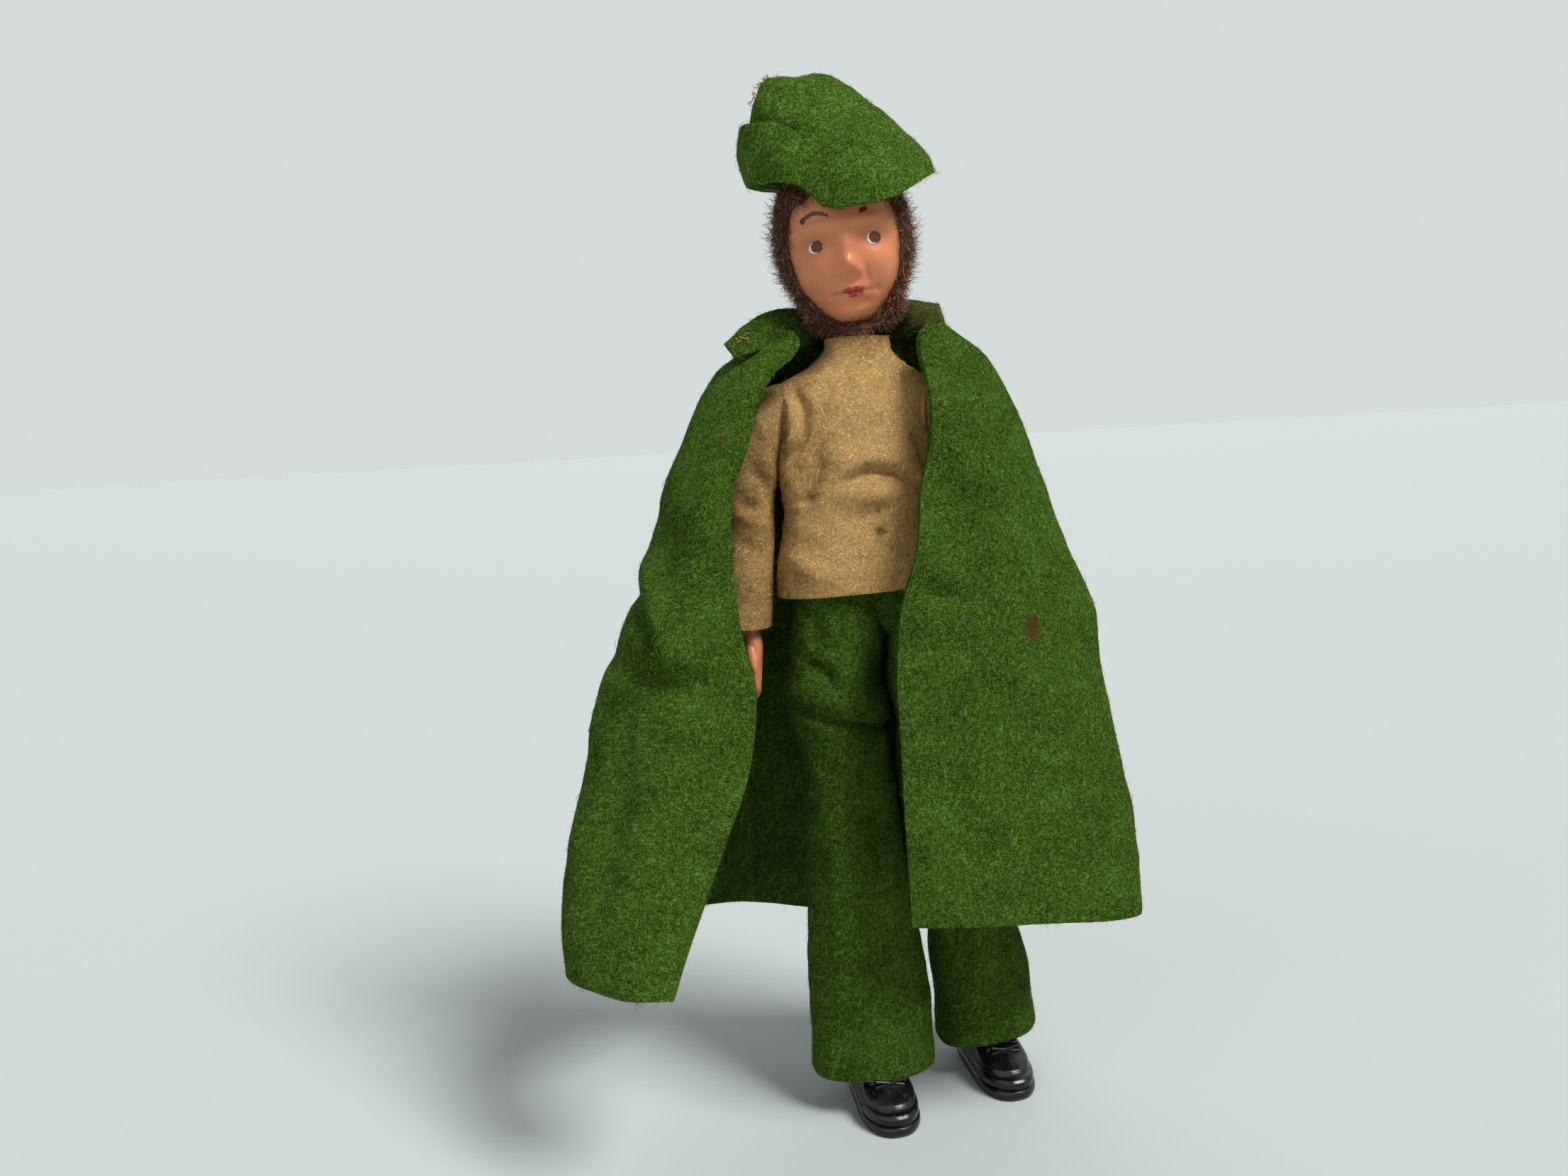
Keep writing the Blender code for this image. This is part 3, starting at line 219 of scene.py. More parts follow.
def plain_finish(name, colour, roughness, variation=0.25, grain=0.0012, **constants):
    """An even stock with a slight mottle."""
    paint = Paint(name, **constants)
    cloud = paint.noise(grain, 3.0)
    low = tuple(c * (1 - variation) for c in colour)
    high = tuple(min(1.0, c * (1 + variation)) for c in colour)
    paint.feed("Base Color", paint.mix(cloud, low, high))
    paint.feed("Roughness", roughness - 0.06 + cloud * 0.12)
    paint.bump(cloud, 0.00006, 0.4)
    return paint.material


def strand_finish(name, colour, roughness=0.6, gloss=0.06):
    paint = Paint(name, Base_Color=(*colour, 1.0), Roughness=roughness, Specular_IOR_Level=gloss)
    return paint.material


def vinyl_paint(name, **constants):
    return Paint(name, Subsurface_Weight=0.15, Subsurface_Radius=(1.0, 0.35, 0.2), Subsurface_Scale=0.0010,
                 Specular_IOR_Level=0.32, Coat_Weight=0.10, Coat_Roughness=0.10, **constants)


def face_finish():
    """Tan vinyl with a hand-painted face: brown eyes, thin brows and dark red lips, with painted shade above the eyes
    and along the mouth crease and a painted highlight over the chin.
    """
    paint = vinyl_paint("painted_face_vinyl")
    inverse = (FIGURE @ HEAD).inverted()
    turned = paint.node("ShaderNodeMapping", {"vector_type": "POINT"}, {
        "Vector": paint.where, "Location": tuple(inverse.translation),
        "Rotation": tuple(inverse.to_euler()), "Scale": (1 / MM,) * 3})
    wobble = paint.node("ShaderNodeVectorMath", {"operation": "MULTIPLY_ADD"}, {
        0: paint.node("ShaderNodeTexNoise", None, {"Vector": turned, "Scale": 2.2, "Detail": 2.0}, out="Color"),
        1: (0.32,) * 3, 2: turned})
    hand = paint.node("ShaderNodeVectorMath", {"operation": "SUBTRACT"}, {0: wobble, 1: (0.16,) * 3})
    parts = paint.node("ShaderNodeSeparateXYZ", None, {"Vector": hand})
    across = Socket(paint, parts.output.node.outputs[0])
    depth = Socket(paint, parts.output.node.outputs[1])
    up = Socket(paint, parts.output.node.outputs[2])
    cloud = paint.noise(0.004, 3.0)
    tone = paint.mix(cloud, (0.55, 0.178, 0.076), (0.68, 0.250, 0.115))
    # painted highlight: a lighter, warmer patch over the chin and under the lips, where the light falls on the chin
    chin_highlight = paint.spot((0.8, 5.9), (4.5, 2.4), hand, 0.7)
    tone = paint.mix(chin_highlight * 0.4, tone, (0.78, 0.30, 0.13))
    dirt = paint.rise(paint.noise(0.0012, 4.0, rough=0.7), 0.60, 0.74)
    tone = paint.mix(dirt * 0.30, tone, (0.36, 0.12, 0.05))
    front = 1 - paint.rise(depth, -4.0, -2.0)

    def lay(base, mask, colour):
        return paint.mix(mask * front, base, colour)

    for x, z in ((-3.65, 14.85), (4.7, 14.8)):
        # painted shade: a darker band over each eye, where the brow and upper lid shade the socket
        shade = paint.spot((x - 0.1, z + 0.75), (2.3, 1.0), hand, 0.6)
        tone = lay(tone, shade * 0.5, (0.38, 0.125, 0.045))
        tone = lay(tone, paint.spot((x - 0.10, z - 0.06), (0.98, 0.92), hand), (0.12, 0.045, 0.026))
        tone = lay(tone, paint.spot((x - 0.16, z - 0.07), (0.86, 0.80), hand), (0.86, 0.79, 0.72))
        tone = lay(tone, paint.spot((x + 0.13, z + 0.03), (0.86, 0.82), hand), (0.075, 0.016, 0.006))
        tone = lay(tone, paint.spot((x + 0.02, z + 0.02), (0.60, 0.55), hand, 0.3), (0.11, 0.030, 0.013))
    for middle, low, slope, bend, ends, half in ((-3.2, 19.4, -0.02, -0.20, 1.95, 0.31),
                                                 (3.75, 18.75, 0.40, -0.1, 0.55, 0.33)):
        away = across - middle
        line = up - low - away * slope - away ** 2 * bend
        stroke = 1 - paint.rise(line.math("ABSOLUTE"), half * 0.7, half * 1.3)
        stroke = stroke * (1 - paint.rise(away.math("ABSOLUTE"), ends * 0.92, ends * 1.04))
        tone = lay(tone, stroke * 0.92, (0.045, 0.013, 0.012))
    tone = lay(tone, paint.spot((-4.95, 18.75), (0.42, 0.46), hand), (0.045, 0.013, 0.012))
    # painted shade: a brown line along the moulded mouth crease and out to its corners
    away = across - 0.75
    line = 1 - paint.rise((up - 7.85 - away ** 2 * 0.03).math("ABSOLUTE"), 0.05, 0.36)
    line = line * (1 - paint.rise(away.math("ABSOLUTE"), 2.2, 3.5))
    tone = lay(tone, line * 0.5, (0.24, 0.08, 0.04))
    upper = paint.spot((0.7, 8.1), (1.65, 0.42), hand, 0.2)
    lower = paint.spot((0.95, 7.5), (1.25, 0.42), hand, 0.25)
    flake = paint.rise(paint.noise(0.00045, 3.0, rough=0.7), 0.38, 0.50)
    lips = upper.math("MAXIMUM", lower) * front * flake
    tone = paint.mix(lips, tone, (0.36, 0.012, 0.014))
    # painted shade: a dark line in the crease between the lips
    tone = lay(tone, paint.spot((0.8, 7.83), (1.5, 0.11), hand, 0.3) * 0.75, (0.05, 0.004, 0.004))
    paint.feed("Base Color", tone)
    paint.feed("Roughness", 0.36 + cloud * 0.12 - lips * 0.28)
    paint.bump(paint.noise(0.0006, 3.0) * 0.4 + paint.noise(0.003, 2.0), 0.00005, 0.5)
    return paint.material


def skin_finish(name):
    paint = vinyl_paint(name)
    cloud = paint.noise(0.003, 3.0)
    tone = paint.mix(cloud, (0.52, 0.170, 0.076), (0.66, 0.245, 0.115))
    paint.feed("Base Color", tone)
    paint.feed("Roughness", 0.33 + cloud * 0.14)
    paint.bump(paint.noise(0.0006, 3.0), 0.00005, 0.5)
    return paint.material


def boot_finish():
    """Glossy black vinyl, rubbed and a little dusty."""
    paint = Paint("boot_black", Specular_IOR_Level=0.40)
    cloud = paint.noise(0.0025, 4.0, rough=0.65)
    scuff = paint.rise(paint.noise(0.0009, 4.0, 0.8, rough=0.7), 0.58, 0.70)
    dust = paint.rise(cloud, 0.45, 0.75)
    colour = paint.mix(dust * 0.6, (0.0022, 0.0022, 0.0026), (0.012, 0.0105, 0.0095))
    colour = paint.mix(scuff * 0.3, colour, (0.040, 0.034, 0.030))
    paint.feed("Base Color", colour)
    paint.feed("Roughness", 0.27 + dust * 0.14 + scuff * 0.12)
    paint.bump(cloud * 0.7 + scuff * 0.3, 0.00012, 0.6)
    return paint.material


GREEN = {"pale": (0.175, 0.320, 0.044), "middle": (0.036, 0.090, 0.0056), "deep": (0.005, 0.019, 0.0009)}
TAN = {"pale": (1.0, 0.70, 0.31), "middle": (0.82, 0.440, 0.130), "deep": (0.27, 0.120, 0.030)}


def toned(felt, share):
    """The same felt, lighter or darker."""
    return {tone: tuple(min(1.0, part * share) for part in colour) for tone, colour in felt.items()}


def make_finishes():
    brown = (0.13, 0.075, 0.03)
    looks = {
        "green": felt_finish("green_felt", stains_and_hole_shade=(((23.4, 76.5), (1.2, 1.8), (0.12, 0.045, 0.016), 0.75),
                                                   ((-19.6, 105.4), (0.9, 1.3), (0.12, 0.060, 0.022), 0.4)),
                             **GREEN),
        "olive": felt_finish("worn_felt", (0.24, 0.25, 0.075), (0.105, 0.115, 0.026), (0.035, 0.04, 0.008)),
        # The two dark brown marks on the jumper are painted shade in its small holes, over the dents that JUMPER_FOLDS
        # presses there.
        "tan": felt_finish("tan_felt", stains_and_hole_shade=(((2.7, 91.2), (0.7, 0.6), brown, 0.6),
                                               ((2.4, 94.2), (0.5, 0.4), brown, 0.3)), **TAN),
        "cap": felt_finish("cap_felt", **toned(GREEN, 1.3)),
        # painted shade: the sleeves get a darker copy of the tan felt, for the shade the cape and body cast on them
        "sleeve": felt_finish("sleeve_felt", **toned(TAN, 0.75)),
        "face": face_finish(),
        "skin": skin_finish("tan_vinyl"),
        "boot": boot_finish(),
        "scalp": plain_finish("brown_backing", (0.060, 0.024, 0.013), 0.95, 0.6, 0.0007),
        "wire": plain_finish("drawn_wire", (0.45, 0.44, 0.42), 0.4, 0.15, Metallic=1.0),
        "padding": plain_finish("cotton_padding", (0.42, 0.36, 0.27), 0.95, 0.2, 0.0006),
        "green_fuzz": [strand_finish("green_fibre_%d" % i, c, 0.75) for i, c in enumerate((
            (0.012, 0.038, 0.0016), (0.038, 0.095, 0.006), (0.080, 0.172, 0.016), (0.18, 0.31, 0.052)))],
        "olive_fuzz": [strand_finish("worn_fibre_%d" % i, c, 0.75) for i, c in enumerate((
            (0.05, 0.06, 0.012), (0.11, 0.13, 0.025), (0.23, 0.24, 0.07), (0.15, 0.085, 0.035)))],
        "tan_fuzz": [strand_finish("tan_fibre_%d" % i, c, 0.75) for i, c in enumerate((
            (0.36, 0.160, 0.040), (0.64, 0.33, 0.095), (0.90, 0.53, 0.19), (1.0, 0.72, 0.33)))],
        "mohair": [strand_finish("mohair_%d" % i, c, 0.45, 0.2) for i, c in enumerate((
            (0.045, 0.016, 0.008), (0.130, 0.050, 0.026), (0.26, 0.115, 0.062), (0.52, 0.30, 0.175)))],
        "thread": [strand_finish("thread_%d" % i, c, 0.6) for i, c in enumerate((
            (0.55, 0.36, 0.16), (0.36, 0.17, 0.07), (0.72, 0.56, 0.34)))],
    }
    return looks


# ---- Making pieces ----------------------------------------------------------------------------------

def surface(place, columns, rows, closed=False):
    """A unit grid laid on a formula of the share across and the share down; closed joins its two sides."""
    work = bmesh.new()
    bmesh.ops.create_grid(work, x_segments=columns, y_segments=rows, size=0.5)
    for vert in work.verts:
        vert.co = place(vert.co.x + 0.5, vert.co.y + 0.5)
    if closed:
        bmesh.ops.remove_doubles(work, verts=work.verts, dist=0.002)
    bmesh.ops.recalc_face_normals(work, faces=work.faces)
    return work


def face_out(work, middle=None):
    """Turn an open surface so that its faces look away from a middle line."""
    work.normal_update()
    total = 0.0
    for face in work.faces:
        centre = face.calc_center_median()
        away = centre - (middle(centre) if middle else Vector((0.0, 0.0, centre.z)))
        total += face.normal.dot(away) * face.calc_area()
    if total < 0:
        bmesh.ops.reverse_faces(work, faces=work.faces)


def emboss(work, height):
    """Move each point along its normal by a height read from its place."""
    work.normal_update()
    moves = [(vert, vert.normal.copy() * height(vert.co)) for vert in work.verts]
    for vert, move in moves:
        vert.co += move


def unevenness(place, size, amount, seed=0.0):
    return noise.noise(place / size + Vector((seed, seed * 1.7, -seed))) * amount


def groove(place, start, end, half, depth):
    """A soft fold along a line seen from the front: its depth at a place."""
    line, to_place = Vector(end) - Vector(start), Vector((place.x, place.z)) - Vector(start)
    share = max(0.0, min(1.0, to_place.dot(line) / max(line.length_squared, 1e-9)))
    away = (to_place - line * share).length / half
    ease = math.sin(HALF_TURN * (0.12 + 0.76 * share))
    return -depth * ease * math.exp(-away * away)


def to_mesh(name, work, matrix=FIGURE, wall=0.0, offset=-1.0, bevel=0.0, even=True):
    """Finish a bmesh: carry it into the frame, give it its wall, and return a mesh."""
    bmesh.ops.transform(work, matrix=matrix, verts=work.verts)
    mesh = bpy.data.meshes.new(name)
    work.to_mesh(mesh)
    work.free()
    if wall:
        holder = bpy.data.objects.new(name, mesh)
        bpy.context.collection.objects.link(holder)
        thick = holder.modifiers.new("wall", "SOLIDIFY")
        thick.thickness = wall * MM
        thick.offset = offset
        thick.use_even_offset = even
        if bevel:
            edge = holder.modifiers.new("edge", "BEVEL")
            edge.width = bevel * MM
            edge.segments = 2
            edge.limit_method = "ANGLE"
            edge.angle_limit = math.radians(50)
        bpy.context.view_layer.update()
        walled = bpy.data.meshes.new_from_object(holder.evaluated_get(bpy.context.evaluated_depsgraph_get()))
        bpy.data.objects.remove(holder)
        bpy.data.meshes.remove(mesh)
        walled.name = name
        mesh = walled
    return mesh


def cut_piece(mesh, name, cuts):
    """The part of a closed mesh behind each cutting plane, with its cuts closed. A plane is a place and a way."""
    work = bmesh.new()
    work.from_mesh(mesh)
    for place, way in cuts:
        geometry = work.verts[:] + work.edges[:] + work.faces[:]
        cut = bmesh.ops.bisect_plane(work, geom=geometry, plane_co=place, plane_no=way, clear_outer=True,
                                     dist=1e-7)
        rim = [item for item in cut["geom_cut"] if isinstance(item, bmesh.types.BMEdge)]
        if rim:
            bmesh.ops.triangle_fill(work, use_beauty=True, use_dissolve=False, edges=rim)
    part = bpy.data.meshes.new(name)
    work.to_mesh(part)
    work.free()
    return part


def show(name, mesh, look, smooth=60.0):
    """Make an object of a mesh, shaded smooth but for its sharp edges."""
    for face in mesh.polygons:
        face.use_smooth = True
    mesh.set_sharp_from_angle(angle=math.radians(smooth))
    if not mesh.materials:
        for finish in look if isinstance(look, (list, tuple)) else [look]:
            mesh.materials.append(finish)
    item = bpy.data.objects.new(name, mesh)
    bpy.context.collection.objects.link(item)
    return item


def carry(item, on, nodes=()):
    """Fix a piece to its body. A piece given two bodies and the places where its turn would start and end is only left
    in place in the frame, fixed to neither.
    """
    if isinstance(on, str):
        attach(item, on)
    else:
        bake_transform(item)
    if nodes:
        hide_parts(*nodes)
    return item


def read(items, field, width, kind=np.float64):
    values = np.empty(len(items) * width, kind)
    items.foreach_get(field, values)
    return values.reshape(-1, width)


def unit(vectors):
    return vectors / np.maximum(np.linalg.norm(vectors, axis=1, keepdims=True), 1e-12)


def strands(name, mesh, per_mm2, long, thick, rise, curl, looks, seed, weigh=None, comb=None, shares=None):
    """Closed three-sided hairs rooted at random on a mesh. long and thick are in millimetres, rise is the
    least and greatest angle from the surface in degrees, curl is the least and greatest turn from root to tip
    in radians, and comb is a way that they lean."""
    rng = np.random.default_rng(seed)
    mesh.calc_loop_triangles()
    corners = read(mesh.loop_triangles, "vertices", 3, np.int32)
    places = read(mesh.vertices, "co", 3)
    a, b, c = (places[corners[:, i]] for i in range(3))
    cross = np.cross(b - a, c - a)
    weight = np.linalg.norm(cross, axis=1) / 2
    if weigh:
        weight = weight * weigh((a + b + c) / 3, unit(cross))
    count = int(weight.sum() * 1e6 * per_mm2)
    pick = rng.choice(len(corners), count, p=weight / weight.sum())
    u, v = rng.random((2, count, 1))
    fold = u + v > 1
    u, v = np.where(fold, 1 - u, u), np.where(fold, 1 - v, v)
    roots = places[corners[pick, 0]] * (1 - u - v) + places[corners[pick, 1]] * u + places[corners[pick, 2]] * v
    up = unit(cross[pick])
    side = unit(np.cross(rng.normal(size=(count, 3)), up))
    angle = np.radians(rise[0] + (rise[1] - rise[0]) * rng.random((count, 1)) ** 1.6)
    way = side * np.cos(angle) + up * np.sin(angle)
    if comb is not None:
        way = unit(way + np.array(comb) * rng.uniform(0.5, 1.2, (count, 1)))
        way = unit(way + up * np.maximum(0.2 - (way * up).sum(1, keepdims=True), 0))
    length = rng.uniform(long[0], long[1], (count, 1)) * MM
    turn = rng.uniform(curl[0], curl[1], (count, 1))
    over = np.cross(way, up)
    bend = unit(over * rng.normal(size=(count, 1)) - up * rng.uniform(0.2, 1.0, (count, 1)))
    bend = unit(bend - way * (bend * way).sum(1, keepdims=True))
    radius = thick * MM * rng.uniform(0.7, 1.2, (count, 1))
    first = np.cross(way, bend)
    verts = np.empty((count, 10, 3))
    for ring, (share, size) in enumerate(((0.0, 1.0), (0.4, 0.95), (0.75, 0.7), (1.0, 0.0))):
        sine, cosine = np.sin(turn * share), np.cos(turn * share)
        middle = roots - up * 0.02 * MM + (way * sine + bend * (1 - cosine)) / turn * length
        second = bend * cosine - way * sine
        for corner in range(3 if size else 1):
            spin = 2 * HALF_TURN * corner / 3
            verts[:, ring * 3 + corner] = middle + (first * math.cos(spin) + second * math.sin(spin)) * radius * size
    loops, starts = [0, 1, 2], [0]
    for ring in range(2):
        for corner in range(3):
            other = (corner + 1) % 3
            starts.append(len(loops))
            loops += [ring * 3 + corner, ring * 3 + 3 + corner, ring * 3 + 3 + other, ring * 3 + other]
    for corner in range(3):
        starts.append(len(loops))
        loops += [6 + corner, 9, 6 + (corner + 1) % 3]
    per, faces = len(loops), len(starts)
    made = bpy.data.meshes.new(name)
    made.vertices.add(count * 10)
    made.vertices.foreach_set("co", verts.ravel())
    made.loops.add(count * per)
    made.loops.foreach_set("vertex_index", (np.array(loops)[None] + np.arange(count)[:, None] * 10).ravel())
    made.polygons.add(count * faces)
    made.polygons.foreach_set("loop_start", (np.array(starts)[None] + np.arange(count)[:, None] * per).ravel())
    shade = rng.choice(len(looks), count, p=shares or [1 / len(looks)] * len(looks))
    made.polygons.foreach_set("material_index", np.repeat(shade, faces))
    for finish in looks:
        made.materials.append(finish)
    made.update(calc_edges=True)
    made.validate()
    item = bpy.data.objects.new(name, made)
    bpy.context.collection.objects.link(item)
    return item


def between(table_x, table_y, x):
    return float(np.interp(x, table_x, table_y))


def curve_through(table_x, table_y, x):
    """Read a table by a smooth curve that passes through its points."""
    count = len(table_x)
    if x <= table_x[0]:
        return table_y[0]
    if x >= table_x[-1]:
        return table_y[-1]
    index = next(i for i in range(1, count) if x <= table_x[i])
    width = table_x[index] - table_x[index - 1]
    part = (x - table_x[index - 1]) / width

    def slope(i):
        low, high = max(i - 1, 0), min(i + 1, count - 1)
        return (table_y[high] - table_y[low]) / (table_x[high] - table_x[low]) * width

    square, cube = part * part, part ** 3
    return ((2 * cube - 3 * square + 1) * table_y[index - 1] + (cube - 2 * square + part) * slope(index - 1)
            + (3 * square - 2 * cube) * table_y[index] + (cube - square) * slope(index))


def oval(turn, half_width, half_depth, square=2.0):
    c, s = math.cos(turn), math.sin(turn)
    return (math.copysign(abs(c) ** (2 / square), c) * half_width,
            math.copysign(abs(s) ** (2 / square), s) * half_depth)


# ---- Cape -------------------------------------------------------------------------------------------

CAPE_WIDE, CAPE_DEEP, CAPE_TOP, CAPE_DROP, CAPE_FOLD, CAPE_BULGE = 46.0, 29.0, 121.0, 89.0, 1.5, 2.6
# Down, then left outer, left edge, right edge and right outer across, then the same and the back in depth
CAPE_ROWS = (
    (0.0, -0.29, -0.19, 0.245, 0.30, 0.32, -0.24, 0.0, -0.23, 0.0),
    (0.02, -0.33, -0.165, 0.208, 0.35, 0.315, -0.255, 0.0, -0.25, 0.0),
    (0.045, -0.39, -0.195, 0.203, 0.40, 0.31, -0.27, 0.0, -0.27, 0.0),
    (0.065, -0.43, -0.255, 0.208, 0.435, 0.31, -0.285, 0.0, -0.295, 0.0),
    (0.125, -0.505, -0.32, 0.226, 0.505, 0.30, -0.33, -0.03, -0.345, 0.0),
    (0.19, -0.57, -0.365, 0.215, 0.555, 0.295, -0.38, -0.07, -0.38, -0.03),
    (0.27, -0.635, -0.422, 0.18, 0.605, 0.30, -0.43, -0.10, -0.41, -0.07),
    (0.37, -0.685, -0.416, 0.154, 0.66, 0.315, -0.48, -0.14, -0.45, -0.10),
    (0.47, -0.75, -0.400, 0.094, 0.72, 0.35, -0.53, -0.17, -0.48, -0.14),
    (0.57, -0.86, -0.366, 0.074, 0.75, 0.41, -0.59, -0.21, -0.50, -0.17),
    (0.685, -0.905, -0.398, 0.074, 0.78, 0.47, -0.67, -0.29, -0.52, -0.24),
    (0.80, -0.96, -0.49, 0.074, 0.80, 0.55, -0.78, -0.38, -0.535, -0.31),
    (0.91, -1.0, -0.585, 0.078, 0.815, 0.63, -0.90, -0.48, -0.55, -0.38),
    (1.0, -0.98, -0.655, 0.08, 0.81, 0.70, -1.0, -0.586, -0.55, -0.41))
CAPE_COLUMNS = [list(column) for column in zip(*CAPE_ROWS)]
CAPE_MARKS = [index / 10 for index in range(11)]
cape_plans = {}


def cape_plan(level):
    """The corners of the cape's plan at one share of its drop, from its left front edge round to its right."""
    key = round(level, 6)
    if key not in cape_plans:
        values = [curve_through(CAPE_COLUMNS[0], column, level) for column in CAPE_COLUMNS[1:]]
        left_out, left_in, right_in, right_out = (value * CAPE_WIDE for value in values[:4])
        back, left_front, left_side, right_front, right_side = (value * CAPE_DEEP for value in values[4:])
        reach = 0.68 + 0.24 * min(1.0, 4 * level)
        points = ((left_in, left_front), ((left_in + left_out) / 2, left_side + (left_front - left_side) * reach),
                  (left_out, left_side), (0.74 * left_out, 0.62 * back), (0.38 * left_out, 0.95 * back),
                  (0.0, back), (0.38 * right_out, 0.95 * back), (0.76 * right_out, 0.62 * back),
                  (right_out, right_side),
                  ((right_in + right_out) / 2, right_side + (right_front - right_side) * reach),
                  (right_in, right_front))
        cape_plans[key] = [list(values) for values in zip(*points)]
    return cape_plans[key]


def cape_point(along, level):
    xs, ys = cape_plan(level)
    spots = [(curve_through(CAPE_MARKS, xs, share), curve_through(CAPE_MARKS, ys, share))
             for share in (along, min(1.0, along + 0.01), max(0.0, along - 0.01))]
    way = Vector((spots[1][0] - spots[2][0], spots[1][1] - spots[2][1], 0.0)).normalized()
    out = Vector((-way.y, way.x, 0.0))
    window = math.sin(HALF_TURN * max(0.0, min(1.0, (along - 0.12) / 0.76))) ** 0.7
    fold = CAPE_FOLD * (level ** 0.8) * math.sin(2 * HALF_TURN * 5.5 * along + 0.6) * window
    side = math.exp(-((along - 0.13) / 0.07) ** 2 - ((level - 0.47) / 0.09) ** 2)
    kink = -math.exp(-((along - 0.12) / 0.07) ** 2 - ((level - 0.565) / 0.035) ** 2)
    fold += CAPE_BULGE * (0.7 * side + 0.45 * kink)
    hem = between((0.0, 0.2, 0.5, 0.8, 1.0), (1.012, 1.005, 1.10, 0.99, 0.975), along)
    z = CAPE_TOP - CAPE_DROP * level * (1 + (hem - 1) * level)
    turned = max(0.0, 1 - along / 0.055) ** 2 * math.exp(-((level - 0.18) / 0.13) ** 2)
    return Vector((spots[0][0], spots[0][1] + 2.4 * turned, z)) + out * fold


CAPE_FOLDS = (((-31.9, 90.0), (-31.2, 82.0), 1.5, -0.8), ((-31.2, 84.0), (-29.6, 74.0), 1.5, -1.1),
              ((-33.6, 86.5), (-32.2, 79.0), 1.3, 1.2), ((-32.4, 81.0), (-29.9, 71.8), 1.3, 1.7),
              ((-38.5, 74.4), (-30.5, 73.2), 2.2, 1.2), ((-31.0, 73.0), (-19.0, 70.2), 2.4, 0.9),
              ((-29.5, 98.0), (-28.0, 84.0), 2.6, 0.6), ((-39.0, 70.5), (-31.0, 68.5), 2.4, -0.7),
              ((-30.0, 66.0), (-36.0, 44.0), 3.2, -0.8), ((-26.0, 62.0), (-29.0, 42.0), 2.4, 0.7),
              ((-35.5, 58.0), (-40.5, 42.0), 2.2, 0.6), ((-20.5, 100.0), (-20.8, 84.0), 1.8, -0.5),
              ((-23.6, 106.0), (-24.5, 90.0), 2.0, 0.5), ((16.0, 112.0), (24.0, 98.0), 3.0, -0.6),
              ((24.0, 108.0), (32.0, 86.0), 3.0, 0.7), ((11.0, 103.0), (15.0, 88.0), 2.4, 0.5),
              ((13.0, 92.0), (22.0, 84.0), 2.4, -0.6), ((6.5, 83.5), (15.0, 80.5), 1.7, 0.9),
              ((5.5, 80.0), (12.0, 77.0), 1.8, -0.6), ((9.0, 66.0), (12.0, 44.0), 2.4, 0.6),
              ((5.5, 52.0), (8.5, 36.0), 1.8, -0.5), ((27.0, 66.0), (33.0, 40.0), 3.2, -0.7),
              ((20.0, 60.0), (23.0, 36.0), 2.4, 0.6), ((33.0, 74.0), (36.5, 50.0), 2.4, 0.5))


def cape_relief(place):
    height = unevenness(place, 9.0, 0.45) + unevenness(place, 3.5, 0.16, 3.0)
    if place.y < 2.0:
        height += sum(groove(place, *fold) for fold in CAPE_FOLDS)
    return height


# Across, from the middle: the cut between inner and outer part, and the ends of the blends on either side of it.
# Then the height of the shoulder hinge
CAPE_CUT, BLEND_INSIDE, BLEND_OUTSIDE, SHOULDER_UP = 16.5, 12.6, 21.0, 109.0


def make_cape(looks):
    """The cape, in four parts that meet edge to edge. They are only set in place in the frame and are fixed to no
    body.
    """
    work = surface(cape_point, 220, 128)
    face_out(work)
    emboss(work, cape_relief)
    whole = to_mesh("cape", work, wall=1.2, offset=0.0, bevel=0.4)
    centre = at(0.0, 0.0, 76.0)
    shoulder = {side: at(sign * CAPE_CUT, 0.0, SHOULDER_UP) for side, sign in SIDES.items()}
    for side, sign in SIDES.items():
        word = SIDE_NAMES[side]
        way = (sign, 0.0, 0.0)
        back = (-sign, 0.0, 0.0)
        parts = (("inner", ((centre, back), (shoulder[side], way)),
                  ("torso", "shoulder_" + side, at(sign * BLEND_INSIDE, 0, SHOULDER_UP), shoulder[side])),
                 ("outer", ((shoulder[side], back),),
                  ("shoulder_" + side, "upper_arm_" + side, shoulder[side],
                   at(sign * BLEND_OUTSIDE, 0, SHOULDER_UP))))
        for part, cuts, on in parts:
            name = "cape_%s_%s" % (word, part)
            mesh = cut_piece(whole, name, cuts)
            planes = [place[0] for place, _ in cuts]
            fuzz = fuzz_on(name + "_fuzz", mesh, 2.3, looks["green_fuzz"], len(name) + sign, cut_planes=planes,
                           inner=0.08)
            piece = carry(show(name, mesh, looks["green"]), on, ("cape",))
            carry(fuzz, on)


def fuzz_on(name, mesh, per_mm2, looks, seed, cut_planes=(), inner=1.0, long=(0.7, 2.1), middle=None, thick=0.021,
            shares=(0.16, 0.30, 0.34, 0.20)):
    """Felt fuzz on a cloth mesh, thinner on its inside and none on its cuts."""
    centre = np.array(middle if middle else at(0.5, 0.0, 0.0))

    def weigh(places, ways):
        keep = np.ones(len(places))
        for plane in cut_planes:
            keep[np.abs(places[:, 0] - plane) < 2e-5] = 0.0
        outward = ((places - centre)[:, :2] * ways[:, :2]).sum(1)
        keep[outward < 0] *= inner
        return keep

    return strands(name, mesh, per_mm2, long, thick, (4.0, 38.0), (0.9, 2.9), looks, seed, weigh=weigh,
                   shares=list(shares))


